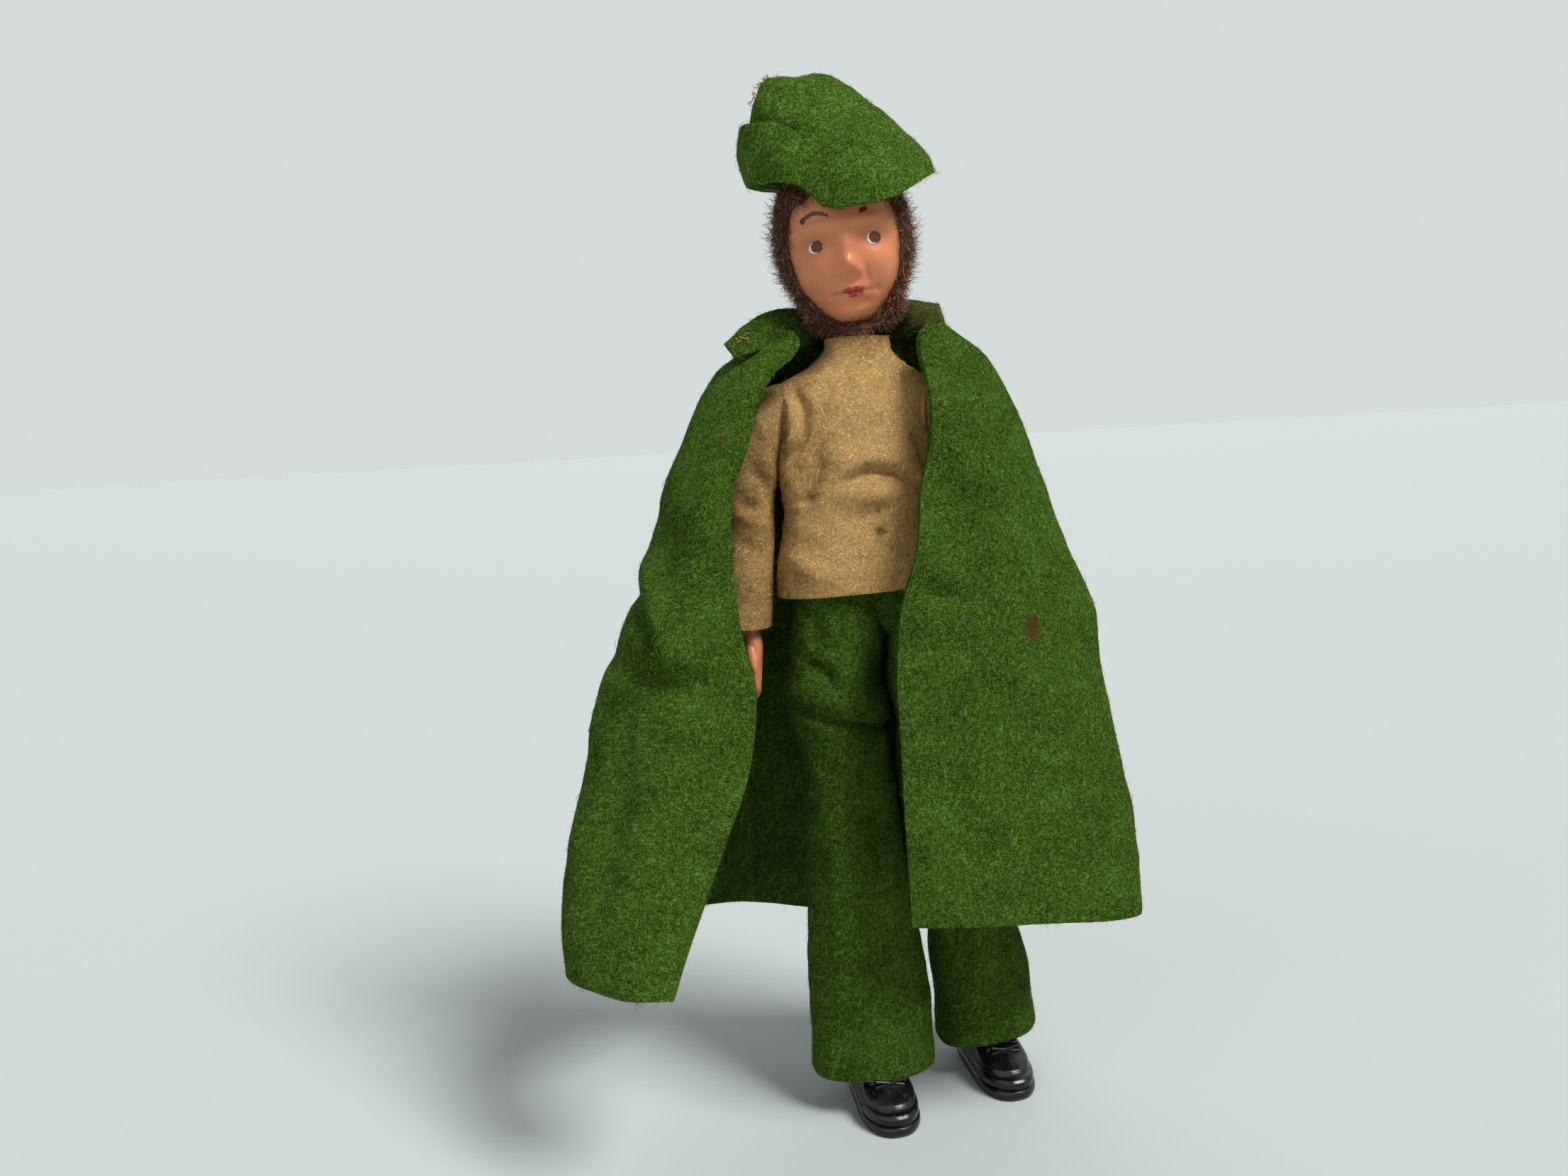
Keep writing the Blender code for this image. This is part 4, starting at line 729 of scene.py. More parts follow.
# Collar: for each station from its left tip round the neck to its right corner, its top and its bottom edge
COLLAR_STATIONS = ((-18.5, -3.4, 119.3, -17.3, -4.6, 117.4), (-15.2, -2.4, 122.3, -13.6, -4.8, 118.4),
                   (-11.4, -0.2, 124.3, -10.4, -2.9, 119.6), (-6.8, 3.2, 124.8, -7.0, 1.6, 119.4),
                   (-2.8, 8.0, 124.8, -3.8, 8.2, 118.8), (3.0, 9.2, 126.2, 3.4, 9.6, 118.8),
                   (7.2, 6.8, 126.0, 7.6, 5.6, 119.8), (10.4, 3.6, 124.9, 10.4, 0.9, 120.8),
                   (13.7, 0.9, 123.7, 13.9, -2.0, 121.2))


def collar_point(along, across):
    marks = [index / (len(COLLAR_STATIONS) - 1) for index in range(len(COLLAR_STATIONS))]
    values = [curve_through(marks, list(column), along) for column in zip(*COLLAR_STATIONS)]
    top, low = Vector(values[:3]), Vector(values[3:])
    way = (low - top).cross(Vector((1.0, 0.0, 0.0))).normalized()
    return top.lerp(low, across) + way * math.sin(HALF_TURN * across) * 0.5


def make_collar(looks):
    work = surface(collar_point, 84, 14)
    face_out(work)
    emboss(work, lambda place: unevenness(place, 2.5, 0.22, 5.0))
    mesh = to_mesh("cape_collar", work, wall=1.3, offset=0.0, bevel=0.45)
    mesh.materials.append(looks["green"])
    mesh.materials.append(looks["olive"])
    edge = at(5.5, 0.0, 0.0)[0]
    for face in mesh.polygons:
        if face.center.x > edge and face.normal.y < 0.25:
            face.material_index = 1
    on = ("torso", "shoulder_r", at(-13, 0, 109), at(-18, 0, 109))
    kinds = looks["green_fuzz"]
    green = strands("collar_fuzz", mesh, 4.6, (0.6, 1.7), 0.022, (5.0, 42.0), (0.9, 2.8), kinds, 21,
                    weigh=lambda places, ways: np.where((places[:, 0] > edge) & (ways[:, 1] < 0.25), 0.12, 1.0),
                    shares=[0.28, 0.36, 0.27, 0.09])
    worn = strands("collar_worn_fuzz", mesh, 4.6, (0.5, 1.6), 0.022, (5.0, 40.0), (0.9, 2.8), looks["olive_fuzz"], 22,
                   weigh=lambda places, ways: np.where((places[:, 0] > edge) & (ways[:, 1] < 0.25), 1.0, 0.0))
    piece = carry(show("cape_collar_leaf", mesh, None), on, ("cape_collar",))
    carry(green, on)
    carry(worn, "torso")
    make_stitches("collar_thread", [collar_point(0.02 + 0.09 * share, 0.38 + 0.1 * math.sin(9 * share))
                                    for share in np.linspace(0, 1, 11)], Vector((-0.1, -0.9, 0.35)), looks["thread"],
                  on, "collar_stitches", 31)


def make_stitches(name, places, out, looks, on, node, seed, matrix=Matrix.Identity(4)):
    """Short thick thread ends that stand in a row where a seam was stopped."""
    rng = np.random.default_rng(seed)
    work = bmesh.new()
    for place in places:
        base = Vector(place) + out * 0.45
        for _ in range(3):
            lean = (out + Vector(rng.normal(size=3) * 0.75)).normalized()
            turn = lean.to_track_quat("Z", "Y").to_matrix().to_4x4()
            spot = base + Vector(rng.normal(size=3) * 0.16)
            bit = bmesh.ops.create_cone(work, cap_ends=True, segments=5, radius1=0.1, radius2=0.05,
                                        depth=float(rng.uniform(0.5, 1.1)),
                                        matrix=Matrix.Translation(spot + lean * 0.2) @ turn)
            shade = int(rng.integers(len(looks)))
            for vert in bit["verts"]:
                for face in vert.link_faces:
                    face.material_index = shade
    mesh = to_mesh(name, work, FIGURE @ matrix)
    carry(show(name, mesh, looks), on, (node,))


# ---- Jumper -----------------------------------------------------------------------------------------

JUMPER_ROWS = ((0.0, 1.10, 1.12), (0.06, 1.09, 1.12), (0.17, 1.05, 1.08), (0.30, 0.985, 1.0), (0.37, 0.95, 0.97),
               (0.45, 0.97, 1.0), (0.68, 0.985, 1.0), (0.80, 0.98, 0.96), (0.88, 0.985, 0.91), (0.93, 0.975, 0.86),
               (0.965, 0.93, 0.81), (0.995, 0.82, 0.76), (1.03, 0.655, 0.70), (1.07, 0.52, 0.66), (1.11, 0.435, 0.64),
               (1.163, 0.405, 0.63))
JUMPER_FOLDS = (((-2.6, 98.5), (1.8, 100.4), 0.75, 1.1), ((1.0, 100.3), (5.0, 99.6), 0.75, 1.2),
                ((4.2, 99.8), (8.4, 98.0), 0.8, 1.2), ((-1.5, 96.4), (6.6, 96.6), 1.7, -0.8),
                ((-3.4, 102.0), (6.8, 102.2), 1.6, -0.5), ((-5.9, 105.0), (-6.2, 100.0), 1.2, 0.7),
                ((-6.3, 100.8), (-8.0, 95.6), 1.2, 0.9), ((-8.9, 96.0), (-7.0, 97.0), 0.6, 1.0),
                ((-10.2, 101.0), (-9.9, 96.0), 1.2, -0.7), ((-8.9, 112.6), (-7.3, 109.2), 0.65, 0.9),
                ((-7.3, 109.8), (-7.9, 105.2), 0.65, 1.0), ((-7.8, 105.8), (-9.8, 102.6), 0.65, 0.9),
                ((-10.6, 112.6), (-9.0, 110.2), 0.95, -0.9), ((-9.0, 110.8), (-9.2, 105.6), 0.9, -1.2),
                ((-9.1, 106.2), (-10.2, 103.6), 0.9, -0.8), ((-10.8, 109.6), (-10.8, 103.2), 0.5, 1.6),
                ((8.6, 106.0), (10.2, 100.0), 1.1, 0.5), ((-11.0, 90.5), (-5.5, 87.6), 1.8, 0.5),
                ((-10.5, 87.0), (-4.0, 84.6), 1.7, -0.5), ((3.4, 91.6), (2.0, 90.8), 0.7, 0.8),
                ((3.0, 94.2), (1.8, 94.3), 0.6, 0.4), ((4.0, 89.0), (7.5, 86.0), 1.7, -0.4),
                ((-6.0, 113.6), (-2.0, 111.6), 1.4, 0.35), ((2.5, 112.4), (7.0, 109.4), 1.6, 0.35))


def jumper_point(around, up):
    rows = [list(column) for column in zip(*JUMPER_ROWS)]
    height = up * 1.163
    turn = 2 * HALF_TURN * around
    wide = curve_through(rows[0], rows[1], height) * 11.9
    deep = curve_through(rows[0], rows[2], height) * 7.1
    x, y = oval(turn, wide, deep, 2.25 - 0.2 * max(0.0, min(1.0, (height - 0.85) * 8)))
    rise = max(0.0, min(1.0, (height - 0.95) / 0.17))
    hem = 0.9 * max(0.0, 1 - height) ** 6 * (0.35 * math.cos(turn) - 0.25 * math.sin(turn * 2))
    return Vector((x + rise, y + 0.3 * rise, 82.2 + 32.4 * height + hem))


def make_jumper(looks):
    work = surface(jumper_point, 136, 104, closed=True)
    face_out(work)
    emboss(work, lambda place: unevenness(place, 6.0, 0.35, 7.0) + unevenness(place, 2.2, 0.12, 2.0)
           + (sum(groove(place, *fold) for fold in JUMPER_FOLDS) if place.y < 0 else 0.0))
    mesh = to_mesh("jumper", work, wall=FELT, bevel=0.22)
    fuzz = fuzz_on("jumper_fuzz", mesh, 3.2, looks["tan_fuzz"], 41, inner=0.05, long=(0.5, 1.3), thick=0.020)
    carry(show("jumper", mesh, looks["tan"]), "torso", ("jumper_body", "jumper_neck_band"))
    carry(fuzz, "torso")
    for side, sign in SIDES.items():
        make_sleeve(side, sign, looks)


def sleeve_point(sign, around, down):
    """The sleeve leaves the armhole sideways, turns down over the shoulder and hangs to the cuff."""
    turn = 2 * HALF_TURN * around
    c, s = math.cos(turn), math.sin(turn)
    if down < 0.42:
        way = down / 0.42
        hole_x, hole_z = 10.2, 108.1 + 5.7 * c
        end_x, end_z = 16.7 + 3.95 * c, 93.0
        stay, corner, go = (1 - way) ** 2, 2 * way * (1 - way), way ** 2
        x = stay * hole_x + corner * end_x + go * end_x
        z = stay * hole_z + corner * hole_z + go * end_z
        return Vector((x * sign, (5.3 * (1 - way) + 4.5 * way) * s, z))
    way = (down - 0.42) / 0.58
    x = 16.7 + 1.6 * way + (3.95 + 0.25 * way) * c
    return Vector((x * sign, 4.5 * s - 0.4 * way, 93.0 - 15.2 * way + 0.5 * way ** 4 * math.sin(turn + 0.6)))


SLEEVE_FOLDS = (((-10.7, 110.4), (-10.7, 103.6), 0.6, 1.7), ((-10.7, 104.8), (-11.4, 96.0), 0.65, 1.8),
                ((-13.4, 104.0), (-12.9, 97.4), 0.9, -0.6), ((-16.0, 102.0), (-13.6, 98.0), 1.0, 0.6),
                ((-17.5, 96.8), (-15.0, 94.6), 0.8, 0.8), ((-18.6, 95.0), (-14.6, 93.0), 1.0, -0.5),
                ((-18.6, 91.0), (-15.0, 88.4), 1.0, 0.5), ((-14.8, 110.4), (-13.0, 105.0), 1.1, -0.4))


def make_sleeve(side, sign, looks):
    word = SIDE_NAMES[side]
    work = surface(lambda around, down: sleeve_point(sign, around, down), 56, 84, closed=True)
    face_out(work, lambda place: Vector((16.9 * sign, 0.0, min(place.z, 106.0))))
    emboss(work, lambda place: unevenness(place, 5.0, 0.3, 9.0) + unevenness(place, 2.0, 0.1, 4.0)
           + (sum(groove(Vector((-abs(place.x), place.y, place.z)), *fold) for fold in SLEEVE_FOLDS)
              if place.y < 0 else 0.0))
    whole = to_mesh("sleeve", work, wall=FELT, bevel=0.2)
    slant = Vector((0.98 * sign, 0.0, -0.18)).normalized()
    seam = Vector((12.0 * sign, 0.0, 103.0))
    middle_cut, far = seam + slant * 0.55, seam + slant * 1.6
    middle_m, far_m, seam_m = (FIGURE @ place for place in (middle_cut, far, seam - slant * 0.2))
    elbow_cut = at(0.0, 0.0, 98.5)
    down = (0.0, 0.0, -1.0)
    spans = (("cap", ((middle_m, slant),), ("torso", "shoulder_" + side, tuple(seam_m), tuple(middle_m)), 11),
             ("upper", ((middle_m, -slant), (elbow_cut, down)),
              ("shoulder_" + side, "upper_arm_" + side, tuple(middle_m), tuple(far_m)), 12),
             ("lower", ((elbow_cut, (0.0, 0.0, 1.0)),),
              ("upper_arm_" + side, "forearm_" + side, at(0, 0, 98.5), at(0, 0, 88.5)), 13))
    nodes = {"cap": (), "upper": ("sleeve_upper_" + side,), "lower": ("sleeve_lower_" + side,)}
    for span, cuts, on, seed in spans:
        name = "%s_sleeve_%s" % (word, span)
        mesh = cut_piece(whole, name, cuts)
        # painted shade: the sleeve fuzz leans to the darker fibre colours, like the sleeve felt
        fuzz = fuzz_on(name + "_fuzz", mesh, 3.0, looks["tan_fuzz"], seed + sign, inner=0.05, long=(0.5, 1.5),
                       middle=at(16.8 * sign, 0, 0), thick=0.020, shares=(0.40, 0.38, 0.17, 0.05))
        carry(show(name, mesh, looks["sleeve"]), on, nodes[span])
        carry(fuzz, on)


# ---- Trousers ---------------------------------------------------------------------------------------

# Height, the middle across and in depth, half width and half depth
LEG_ROWS = {
    "r": ((86.0, -3.4, 0.0, 7.4, 6.3), (82.0, -3.2, 0.0, 7.3, 6.6), (75.0, -4.2, 0.0, 7.1, 6.9),
          (68.5, -5.3, 0.1, 7.15, 7.3), (65.0, -5.1, 0.15, 7.6, 7.5), (62.6, -4.6, 0.2, 7.8, 7.3),
          (60.5, -4.2, 0.3, 7.4, 6.7), (57.0, -3.9, 0.35, 7.0, 6.9), (53.3, -3.8, 0.4, 7.0, 7.2),
          (45.0, -3.4, 0.55, 7.5, 7.6), (39.0, -3.2, 0.6, 7.8, 7.8), (30.0, -2.7, 0.8, 8.6, 8.1),
          (19.0, -2.2, 0.9, 9.5, 8.4), (6.3, -1.95, 1.0, 9.8, 8.6)),
    "l": ((86.0, 8.5, 0.2, 4.4, 6.0), (82.0, 8.6, 0.2, 4.2, 6.2), (75.0, 8.0, 0.3, 4.25, 6.4),
          (68.5, 7.6, 0.6, 4.3, 6.8), (65.0, 8.0, 0.9, 4.2, 6.9), (62.6, 8.4, 1.1, 4.3, 6.9),
          (60.5, 8.5, 1.3, 4.5, 7.0), (57.0, 8.8, 1.6, 5.1, 7.1), (53.3, 9.3, 2.2, 5.6, 7.2),
          (45.0, 10.8, 4.0, 6.3, 7.4), (39.0, 12.2, 5.5, 6.7, 7.7), (30.0, 14.6, 7.8, 7.2, 8.1),
          (19.0, 16.6, 9.5, 7.8, 8.5), (6.3, 17.3, 10.1, 8.15, 8.7))}
HEM_RISE = {"r": 0.5, "l": 1.4}
LEG_FOLDS = (((-12.0, 65.6), (-6.4, 63.1), 0.85, 1.5), ((-7.0, 63.5), (-2.2, 61.8), 0.8, 1.3),
             ((-2.9, 62.0), (3.6, 60.9), 0.7, 1.8), ((-11.6, 62.8), (-8.8, 60.4), 0.9, 1.1),
             ((-9.6, 72.4), (-6.2, 70.7), 0.9, 1.0), ((-6.5, 71.2), (-5.3, 67.8), 0.9, 1.1),
             ((-8.8, 67.2), (2.0, 65.4), 1.8, -0.8), ((-6.0, 77.5), (0.0, 75.6), 1.8, -0.5),
             ((-3.2, 74.2), (-0.6, 67.4), 2.0, -0.6), ((-7.4, 80.5), (-7.9, 75.0), 1.2, 0.7),
             ((-6.7, 61.0), (2.4, 58.2), 1.5, -0.7), ((-9.6, 57.2), (-4.0, 55.2), 1.5, 0.5),
             ((-5.0, 56.0), (-7.5, 34.0), 1.9, -0.6), ((-0.2, 56.0), (0.4, 42.0), 1.5, 0.7),
             ((0.6, 46.0), (-1.6, 30.0), 1.8, 0.7), ((-9.2, 44.0), (-9.0, 22.0), 1.5, 0.5),
             ((-7.0, 30.0), (-7.6, 10.0), 1.9, -0.4), ((3.0, 28.0), (4.6, 10.0), 1.8, -0.4),
             ((0.0, 24.0), (0.6, 9.0), 1.6, 0.35), ((12.0, 36.0), (13.4, 10.0), 1.7, 0.5),
             ((16.0, 27.0), (17.4, 10.0), 1.8, -0.4), ((20.6, 28.0), (22.2, 11.0), 1.6, 0.5))


def leg_row(side, z):
    """The middle of a leg and its half sizes at a height."""
    rows = [list(column)[::-1] for column in zip(*LEG_ROWS[side])]
    return [curve_through(rows[0], column, z) for column in rows[1:]]


def leg_point(side, around, down):
    z = 86.0 - 79.7 * down
    middle_x, middle_y, half_width, half_depth = leg_row(side, z)
    turn = 2 * HALF_TURN * around
    x, y = oval(turn, half_width, half_depth, 2.3)
    lift = HEM_RISE[side] * (x / half_width + 0.3) * down ** 8
    wave = 0.35 * down ** 6 * math.sin(3 * turn + 0.5)
    return Vector((middle_x + x, middle_y + y + wave * 0.5, z + lift + wave * 0.3))


def waist_point(around, down):
    turn = 2 * HALF_TURN * around
    x, y = oval(turn, 9.9 * (1 - 0.9 * down ** 5), 5.5 * (1 - 0.9 * down ** 5), 2.6)
    return Vector((1.9 + x, y + 0.8 * down ** 2, 87.0 - 12.5 * down ** 0.8))


def make_trousers(looks):
    work = surface(waist_point, 64, 16, closed=True)
    bmesh.ops.holes_fill(work, edges=[edge for edge in work.edges if edge.is_boundary], sides=0)
    bmesh.ops.recalc_face_normals(work, faces=work.faces)
    waist = show("trousers_waist", to_mesh("waist", work), looks["green"])
    carry(waist, "torso", ("trousers_seat",))
    for side, word in SIDE_NAMES.items():
        work = surface(lambda around, down: leg_point(side, around, down), 80, 140, closed=True)

        def axis(place):
            middle_x, middle_y, _, _ = leg_row(side, place.z)
            return Vector((middle_x, middle_y, place.z))

        face_out(work, axis)
        emboss(work, lambda place: unevenness(place, 7.0, 0.4, 11.0) + unevenness(place, 2.6, 0.13, 6.0)
               + (sum(groove(place, *fold) for fold in LEG_FOLDS) if place.y < axis(place).y else 0.0))
        whole = to_mesh("leg", work, wall=FELT, bevel=0.22)
        upper, lower = at(0.0, 0.0, 73.0), at(0.0, 0.0, 52.0)
        up, down = (0.0, 0.0, 1.0), (0.0, 0.0, -1.0)
        spans = (("seat", ((upper, down),), ("torso", "hip_" + side, at(0, 0, 81.5), at(0, 0, 73.0)), 51),
                 ("thigh", ((upper, up), (lower, down)), ("hip_" + side, "thigh_" + side, at(0, 0, 73), at(0, 0, 68)), 52),
                 ("shin", ((lower, up),), ("thigh_" + side, "shin_" + side, at(0, 0, 50.0), at(0, 0, 36.5)), 53))
        nodes = {"seat": ("trousers_seat",), "thigh": ("trouser_thigh_" + side,), "shin": ("trouser_shin_" + side,)}
        for span, cuts, on, seed in spans:
            name = "%s_trouser_%s" % (word, span)
            mesh = cut_piece(whole, name, cuts)
            middle = axis(Vector((0.0, 0.0, {"seat": 80.0, "thigh": 62.0, "shin": 25.0}[span])))
            fuzz = fuzz_on(name + "_fuzz", mesh, 2.4, looks["green_fuzz"], seed + SIDES[side], inner=0.04,
                           middle=tuple(FIGURE @ middle))
            carry(show(name, mesh, looks["green"]), on, nodes[span])
            carry(fuzz, on)


# ---- Head -------------------------------------------------------------------------------------------

HEAD_WIDE, HEAD_DEEP, HEAD_TALL, HEAD_MIDDLE, HEAD_SIDE = 9.3, 10.2, 13.2, 16.6, 0.5
# Across, up, reach, spread across and spread up, in shares of the head's halves
FACE_FORMS = ((0.0, -0.385, 0.145, 0.135, 0.085), (0.0, -0.20, 0.075, 0.13, 0.17), (-0.14, -0.455, 0.05, 0.075, 0.055),
              (0.14, -0.455, 0.05, 0.075, 0.055), (0.0, -0.53, -0.035, 0.13, 0.035), (-0.45, -0.125, -0.098, 0.22, 0.10),
              (0.45, -0.125, -0.098, 0.22, 0.10), (-0.45, -0.135, 0.058, 0.115, 0.058),
              (0.45, -0.135, 0.058, 0.115, 0.058), (-0.45, -0.058, 0.018, 0.15, 0.02), (0.45, -0.058, 0.018, 0.15, 0.02),
              (-0.40, 0.07, 0.050, 0.28, 0.065), (0.40, 0.07, 0.050, 0.28, 0.065), (-0.54, -0.42, 0.065, 0.23, 0.17),
              (0.54, -0.42, 0.065, 0.23, 0.17), (0.03, -0.64, 0.045, 0.25, 0.13), (0.03, -0.632, 0.030, 0.15, 0.028),
              (0.045, -0.703, 0.036, 0.13, 0.030), (0.03, -0.664, -0.030, 0.30, 0.014),
              (-0.33, -0.668, -0.028, 0.06, 0.045), (0.40, -0.658, -0.028, 0.06, 0.045), (0.03, -0.775, -0.038, 0.2, 0.038),
              (0.03, -0.89, 0.075, 0.25, 0.085), (0.02, -0.565, -0.012, 0.04, 0.035), (-0.27, -0.52, -0.03, 0.045, 0.09),
              (0.27, -0.52, -0.03, 0.045, 0.09))


def head_point(turn, rise):
    x = HEAD_WIDE * math.sin(turn) * math.cos(rise)
    y = -HEAD_DEEP * math.cos(turn) * math.cos(rise)
    up = math.sin(rise)
    lower = max(0.0, -up)
    x *= 1 - 0.08 * lower ** 1.5
    front = max(0.0, -y / HEAD_DEEP)
    across = x / HEAD_WIDE
    reach = sum(forward * math.exp(-((across - place_x) / spread_x) ** 2 - ((up - place_z) / spread_z) ** 2)
                for place_x, place_z, forward, spread_x, spread_z in FACE_FORMS)
    y -= HEAD_DEEP * reach * min(1.0, front * 2.0)
    y -= HEAD_DEEP * 0.10 * lower ** 2
    z = HEAD_MIDDLE + HEAD_TALL * up
    chin = 1 / (1 + math.exp((y / HEAD_DEEP + 0.35) * 14))
    floor = 4.4 - (4.4 - (HEAD_MIDDLE - HEAD_TALL)) * chin
    return Vector((x + HEAD_SIDE, y, max(z, floor)))


def head_away(turn, rise):
    return Vector((math.sin(turn) * math.cos(rise) / HEAD_WIDE, -math.cos(turn) * math.cos(rise) / HEAD_DEEP,
                   math.sin(rise) / HEAD_TALL)).normalized()


def make_head(looks):
    work = bmesh.new()
    bmesh.ops.create_uvsphere(work, u_segments=128, v_segments=96, radius=1.0)
    for vert in work.verts:
        level = math.hypot(vert.co.x, vert.co.y)
        part = math.atan2(vert.co.x, -vert.co.y) / HALF_TURN if level > 1e-6 else 0.0
        turn = HALF_TURN * (0.55 * part + 0.45 * part ** 3)
        vert.co = head_point(turn, math.asin(max(-1.0, min(1.0, vert.co.z))))
    moulding = to_mesh("head", work, FIGURE @ HEAD)
    carry(show("moulded_head", moulding, looks["face"], 80.0), "head", ("head",))
    hairline = ((14, 24, 34, 44, 51, 56, 60, 64, 69, 180), (33, 31, 29, 26, 19, 8, -6, -25, -37, -42))

    def wig_low(turn):
        away = 180 - abs(math.degrees(turn) - 180)
        fringe = 8.0 * math.exp(-((away - 34.0) / 14.0) ** 2) if turn > HALF_TURN else 0.0
        return between(*hairline, away) - fringe

    def wig_point(across, up):
        turn = math.radians(24.0 + 312.0 * across)
        rise = math.radians(wig_low(turn) + (60.0 - wig_low(turn)) * up)
        swell = min(1.0, 0.2 + 8 * min(across, 1 - across)) * min(1.0, 0.25 + 3 * min(up, 1 - up))
        return head_point(turn, rise) + head_away(turn, rise) * (0.15 + 0.4 * swell)

    def beard_point(across, under):
        turn = math.radians(-104.0 + 208.0 * across)
        high = math.radians(min(-36.0, -76.0 + 56.0 * (abs(math.degrees(turn)) / 66.0) ** 6))
        edge = head_point(turn, high) + head_away(turn, high) * 0.2
        inner = Vector((HEAD_SIDE + 4.4 * math.sin(turn), -4.6 * math.cos(turn), 3.3))
        sag = math.sin(HALF_TURN * under)
        point = edge.lerp(inner, under)
        away = Vector((point.x - HEAD_SIDE, point.y, 0.0)).normalized()
        return point + (away * 0.9 - Vector((0.0, 0.0, 0.7))) * sag

    down = HEAD.to_3x3() @ Vector((0.0, 0.0, -1.0))
    to_head = np.array((FIGURE @ HEAD).inverted())
    hairs = (("wig", wig_point, 150, 36, "wig_mohair", (1.7, 3.3), 11.0, (10.0, 52.0), 61),
             ("beard", beard_point, 90, 12, "beard_mohair", (1.2, 2.4), 17.0, (10.0, 75.0), 62))
    for name, place, columns, rows, slot, long, per_mm2, rise, seed in hairs:
        work = surface(place, columns, rows)
        face_out(work, lambda spot: Vector((HEAD_SIDE, 0.0, HEAD_MIDDLE)))
        mesh = to_mesh(name, work, FIGURE @ HEAD, wall=0.25, even=False)
        inward = np.array(FIGURE @ HEAD @ Vector((HEAD_SIDE, 0.0, HEAD_MIDDLE if name == "wig" else 5.5)))

        def shown(places, ways):
            up = (places @ to_head[2, :3]) + to_head[2, 3]
            return np.clip(((places - inward) * ways).sum(1) * 300, 0, 1) * (up < 27.5)

        hair = strands(name + "_hairs", mesh, per_mm2, long, 0.034, rise, (0.1, 0.9), looks["mohair"], seed,
                       weigh=shown, comb=tuple(down * (0.75 if name == "wig" else 0.1)),
                       shares=[0.26, 0.36, 0.27, 0.11])
        carry(show(name + "_backing", mesh, looks["scalp"]), "head", (name,))
        carry(hair, "head")

    def stray(places, _ways):
        """Hairs that stray from the edges of the wig and the beard on to the face, fewer further in."""
        spots = places @ to_head[:3, :3].T + to_head[:3, 3]
        turns = np.degrees(np.abs(np.arctan2((spots[:, 0] - HEAD_SIDE) / HEAD_WIDE, -spots[:, 1] / HEAD_DEEP)))
        rises = np.degrees(np.arcsin(np.clip((spots[:, 2] - HEAD_MIDDLE) / HEAD_TALL, -1, 1)))
        from_wig = np.interp(turns, *hairline) - rises
        from_beard = rises - np.minimum(-36, -76 + 56 * (turns / 66) ** 6)
        from_wig[turns < 42] = 90.0
        nearest = np.minimum(from_wig, from_beard)
        return np.clip(1 - nearest / 13, 0, 1) ** 1.5 * (nearest > -3) * (turns < 75)

    whiskers = strands("whiskers", moulding, 7.0, (0.7, 1.9), 0.030, (6.0, 40.0), (0.2, 1.0), looks["mohair"], 63,
                       weigh=stray, comb=tuple(down * 0.35), shares=[0.30, 0.40, 0.24, 0.06])
    carry(whiskers, "head")


# ---- Cap --------------------------------------------------------------------------------------------

CAP_TURNS = (-180, -130, -90, -59, -41, -30, -25, -19, -5, 16, 30, 53, 70, 90, 130, 180)
CAP_EDGES = (0.32, 0.36, 0.36, 0.275, 0.245, 0.185, 0.11, 0.03, -0.02, -0.02, 0.0, 0.10, 0.155, 0.20, 0.25, 0.32)
RIDGE_PLACES = (-1.0, -0.86, -0.68, -0.43, -0.2, 0.01, 0.22, 0.51, 0.71, 0.88, 0.97, 1.0)
RIDGE_HEIGHTS = (0.86, 0.975, 1.0, 0.985, 0.97, 0.92, 0.816, 0.65, 0.495, 0.385, 0.30, 0.235)
BRIM_TURNS = (6, 14, 22, 30, 38, 47, 65, 90, 140, 200, 235)
BRIM_HEIGHTS = (0.10, 0.50, 0.78, 0.90, 0.94, 0.97, 1.0, 0.90, 0.82, 0.65, 0.25)


def cap_point(turn, way):
    """A point of the cap by turn from the front and way from its edge, 0, up to its ridge, 1."""
    place = math.sin(turn)
    x_edge, y_edge = 2.15 + 13.15 * place, -12.8 * math.cos(turn)
    z_edge = 19.5 + 21.2 * between(CAP_TURNS, CAP_EDGES, math.degrees(turn))
    x_ridge, y_ridge = 2.95 + 12.15 * place, -0.9 * math.cos(turn)
    z_ridge = 19.5 + 21.2 * curve_through(RIDGE_PLACES, RIDGE_HEIGHTS, place)
    rise, lean = math.sin(way * HALF_TURN / 2), 1 - math.cos(way * HALF_TURN / 2)
    return Vector((x_edge + (x_ridge - x_edge) * lean, y_edge + (y_ridge - y_edge) * lean,
                   z_edge + (z_ridge - z_edge) * rise))


def crown_point(around, up):
    return cap_point(2 * HALF_TURN * around - HALF_TURN, up)


def brim_point(along, up):
    degrees = -6 - 229 * along
    turn = math.radians(degrees if degrees > -180 else degrees + 360)
    tall = 8.3 * between(BRIM_TURNS, BRIM_HEIGHTS, -degrees)
    edge, ridge = cap_point(turn, 0.0), cap_point(turn, 1.0)
    way = math.asin(min(0.95, tall * up / max(ridge.z - edge.z, 0.3))) * 2 / HALF_TURN
    point = cap_point(turn, way)
    point.z = edge.z + tall * up - 0.3 * (1 - up)
    out = Vector((point.x - 2.15, point.y, 0.0)).normalized()
    free = max(0.0, min(1.0, (-degrees - 22) / 20))
    free = free * free * (3 - 2 * free)
    return point + out * ((0.95 + 0.55 * math.sin(HALF_TURN * up) * tall / 8.3) * free - 0.8 * (1 - free))


CAP_FOLDS = (((-7.6, 38.0), (-2.0, 35.0), 1.4, 0.5), ((-9.4, 36.0), (-8.4, 33.0), 0.8, 0.35),
             ((0.0, 27.5), (9.0, 24.0), 2.5, -0.4), ((4.0, 33.0), (9.0, 28.0), 1.6, 0.35))


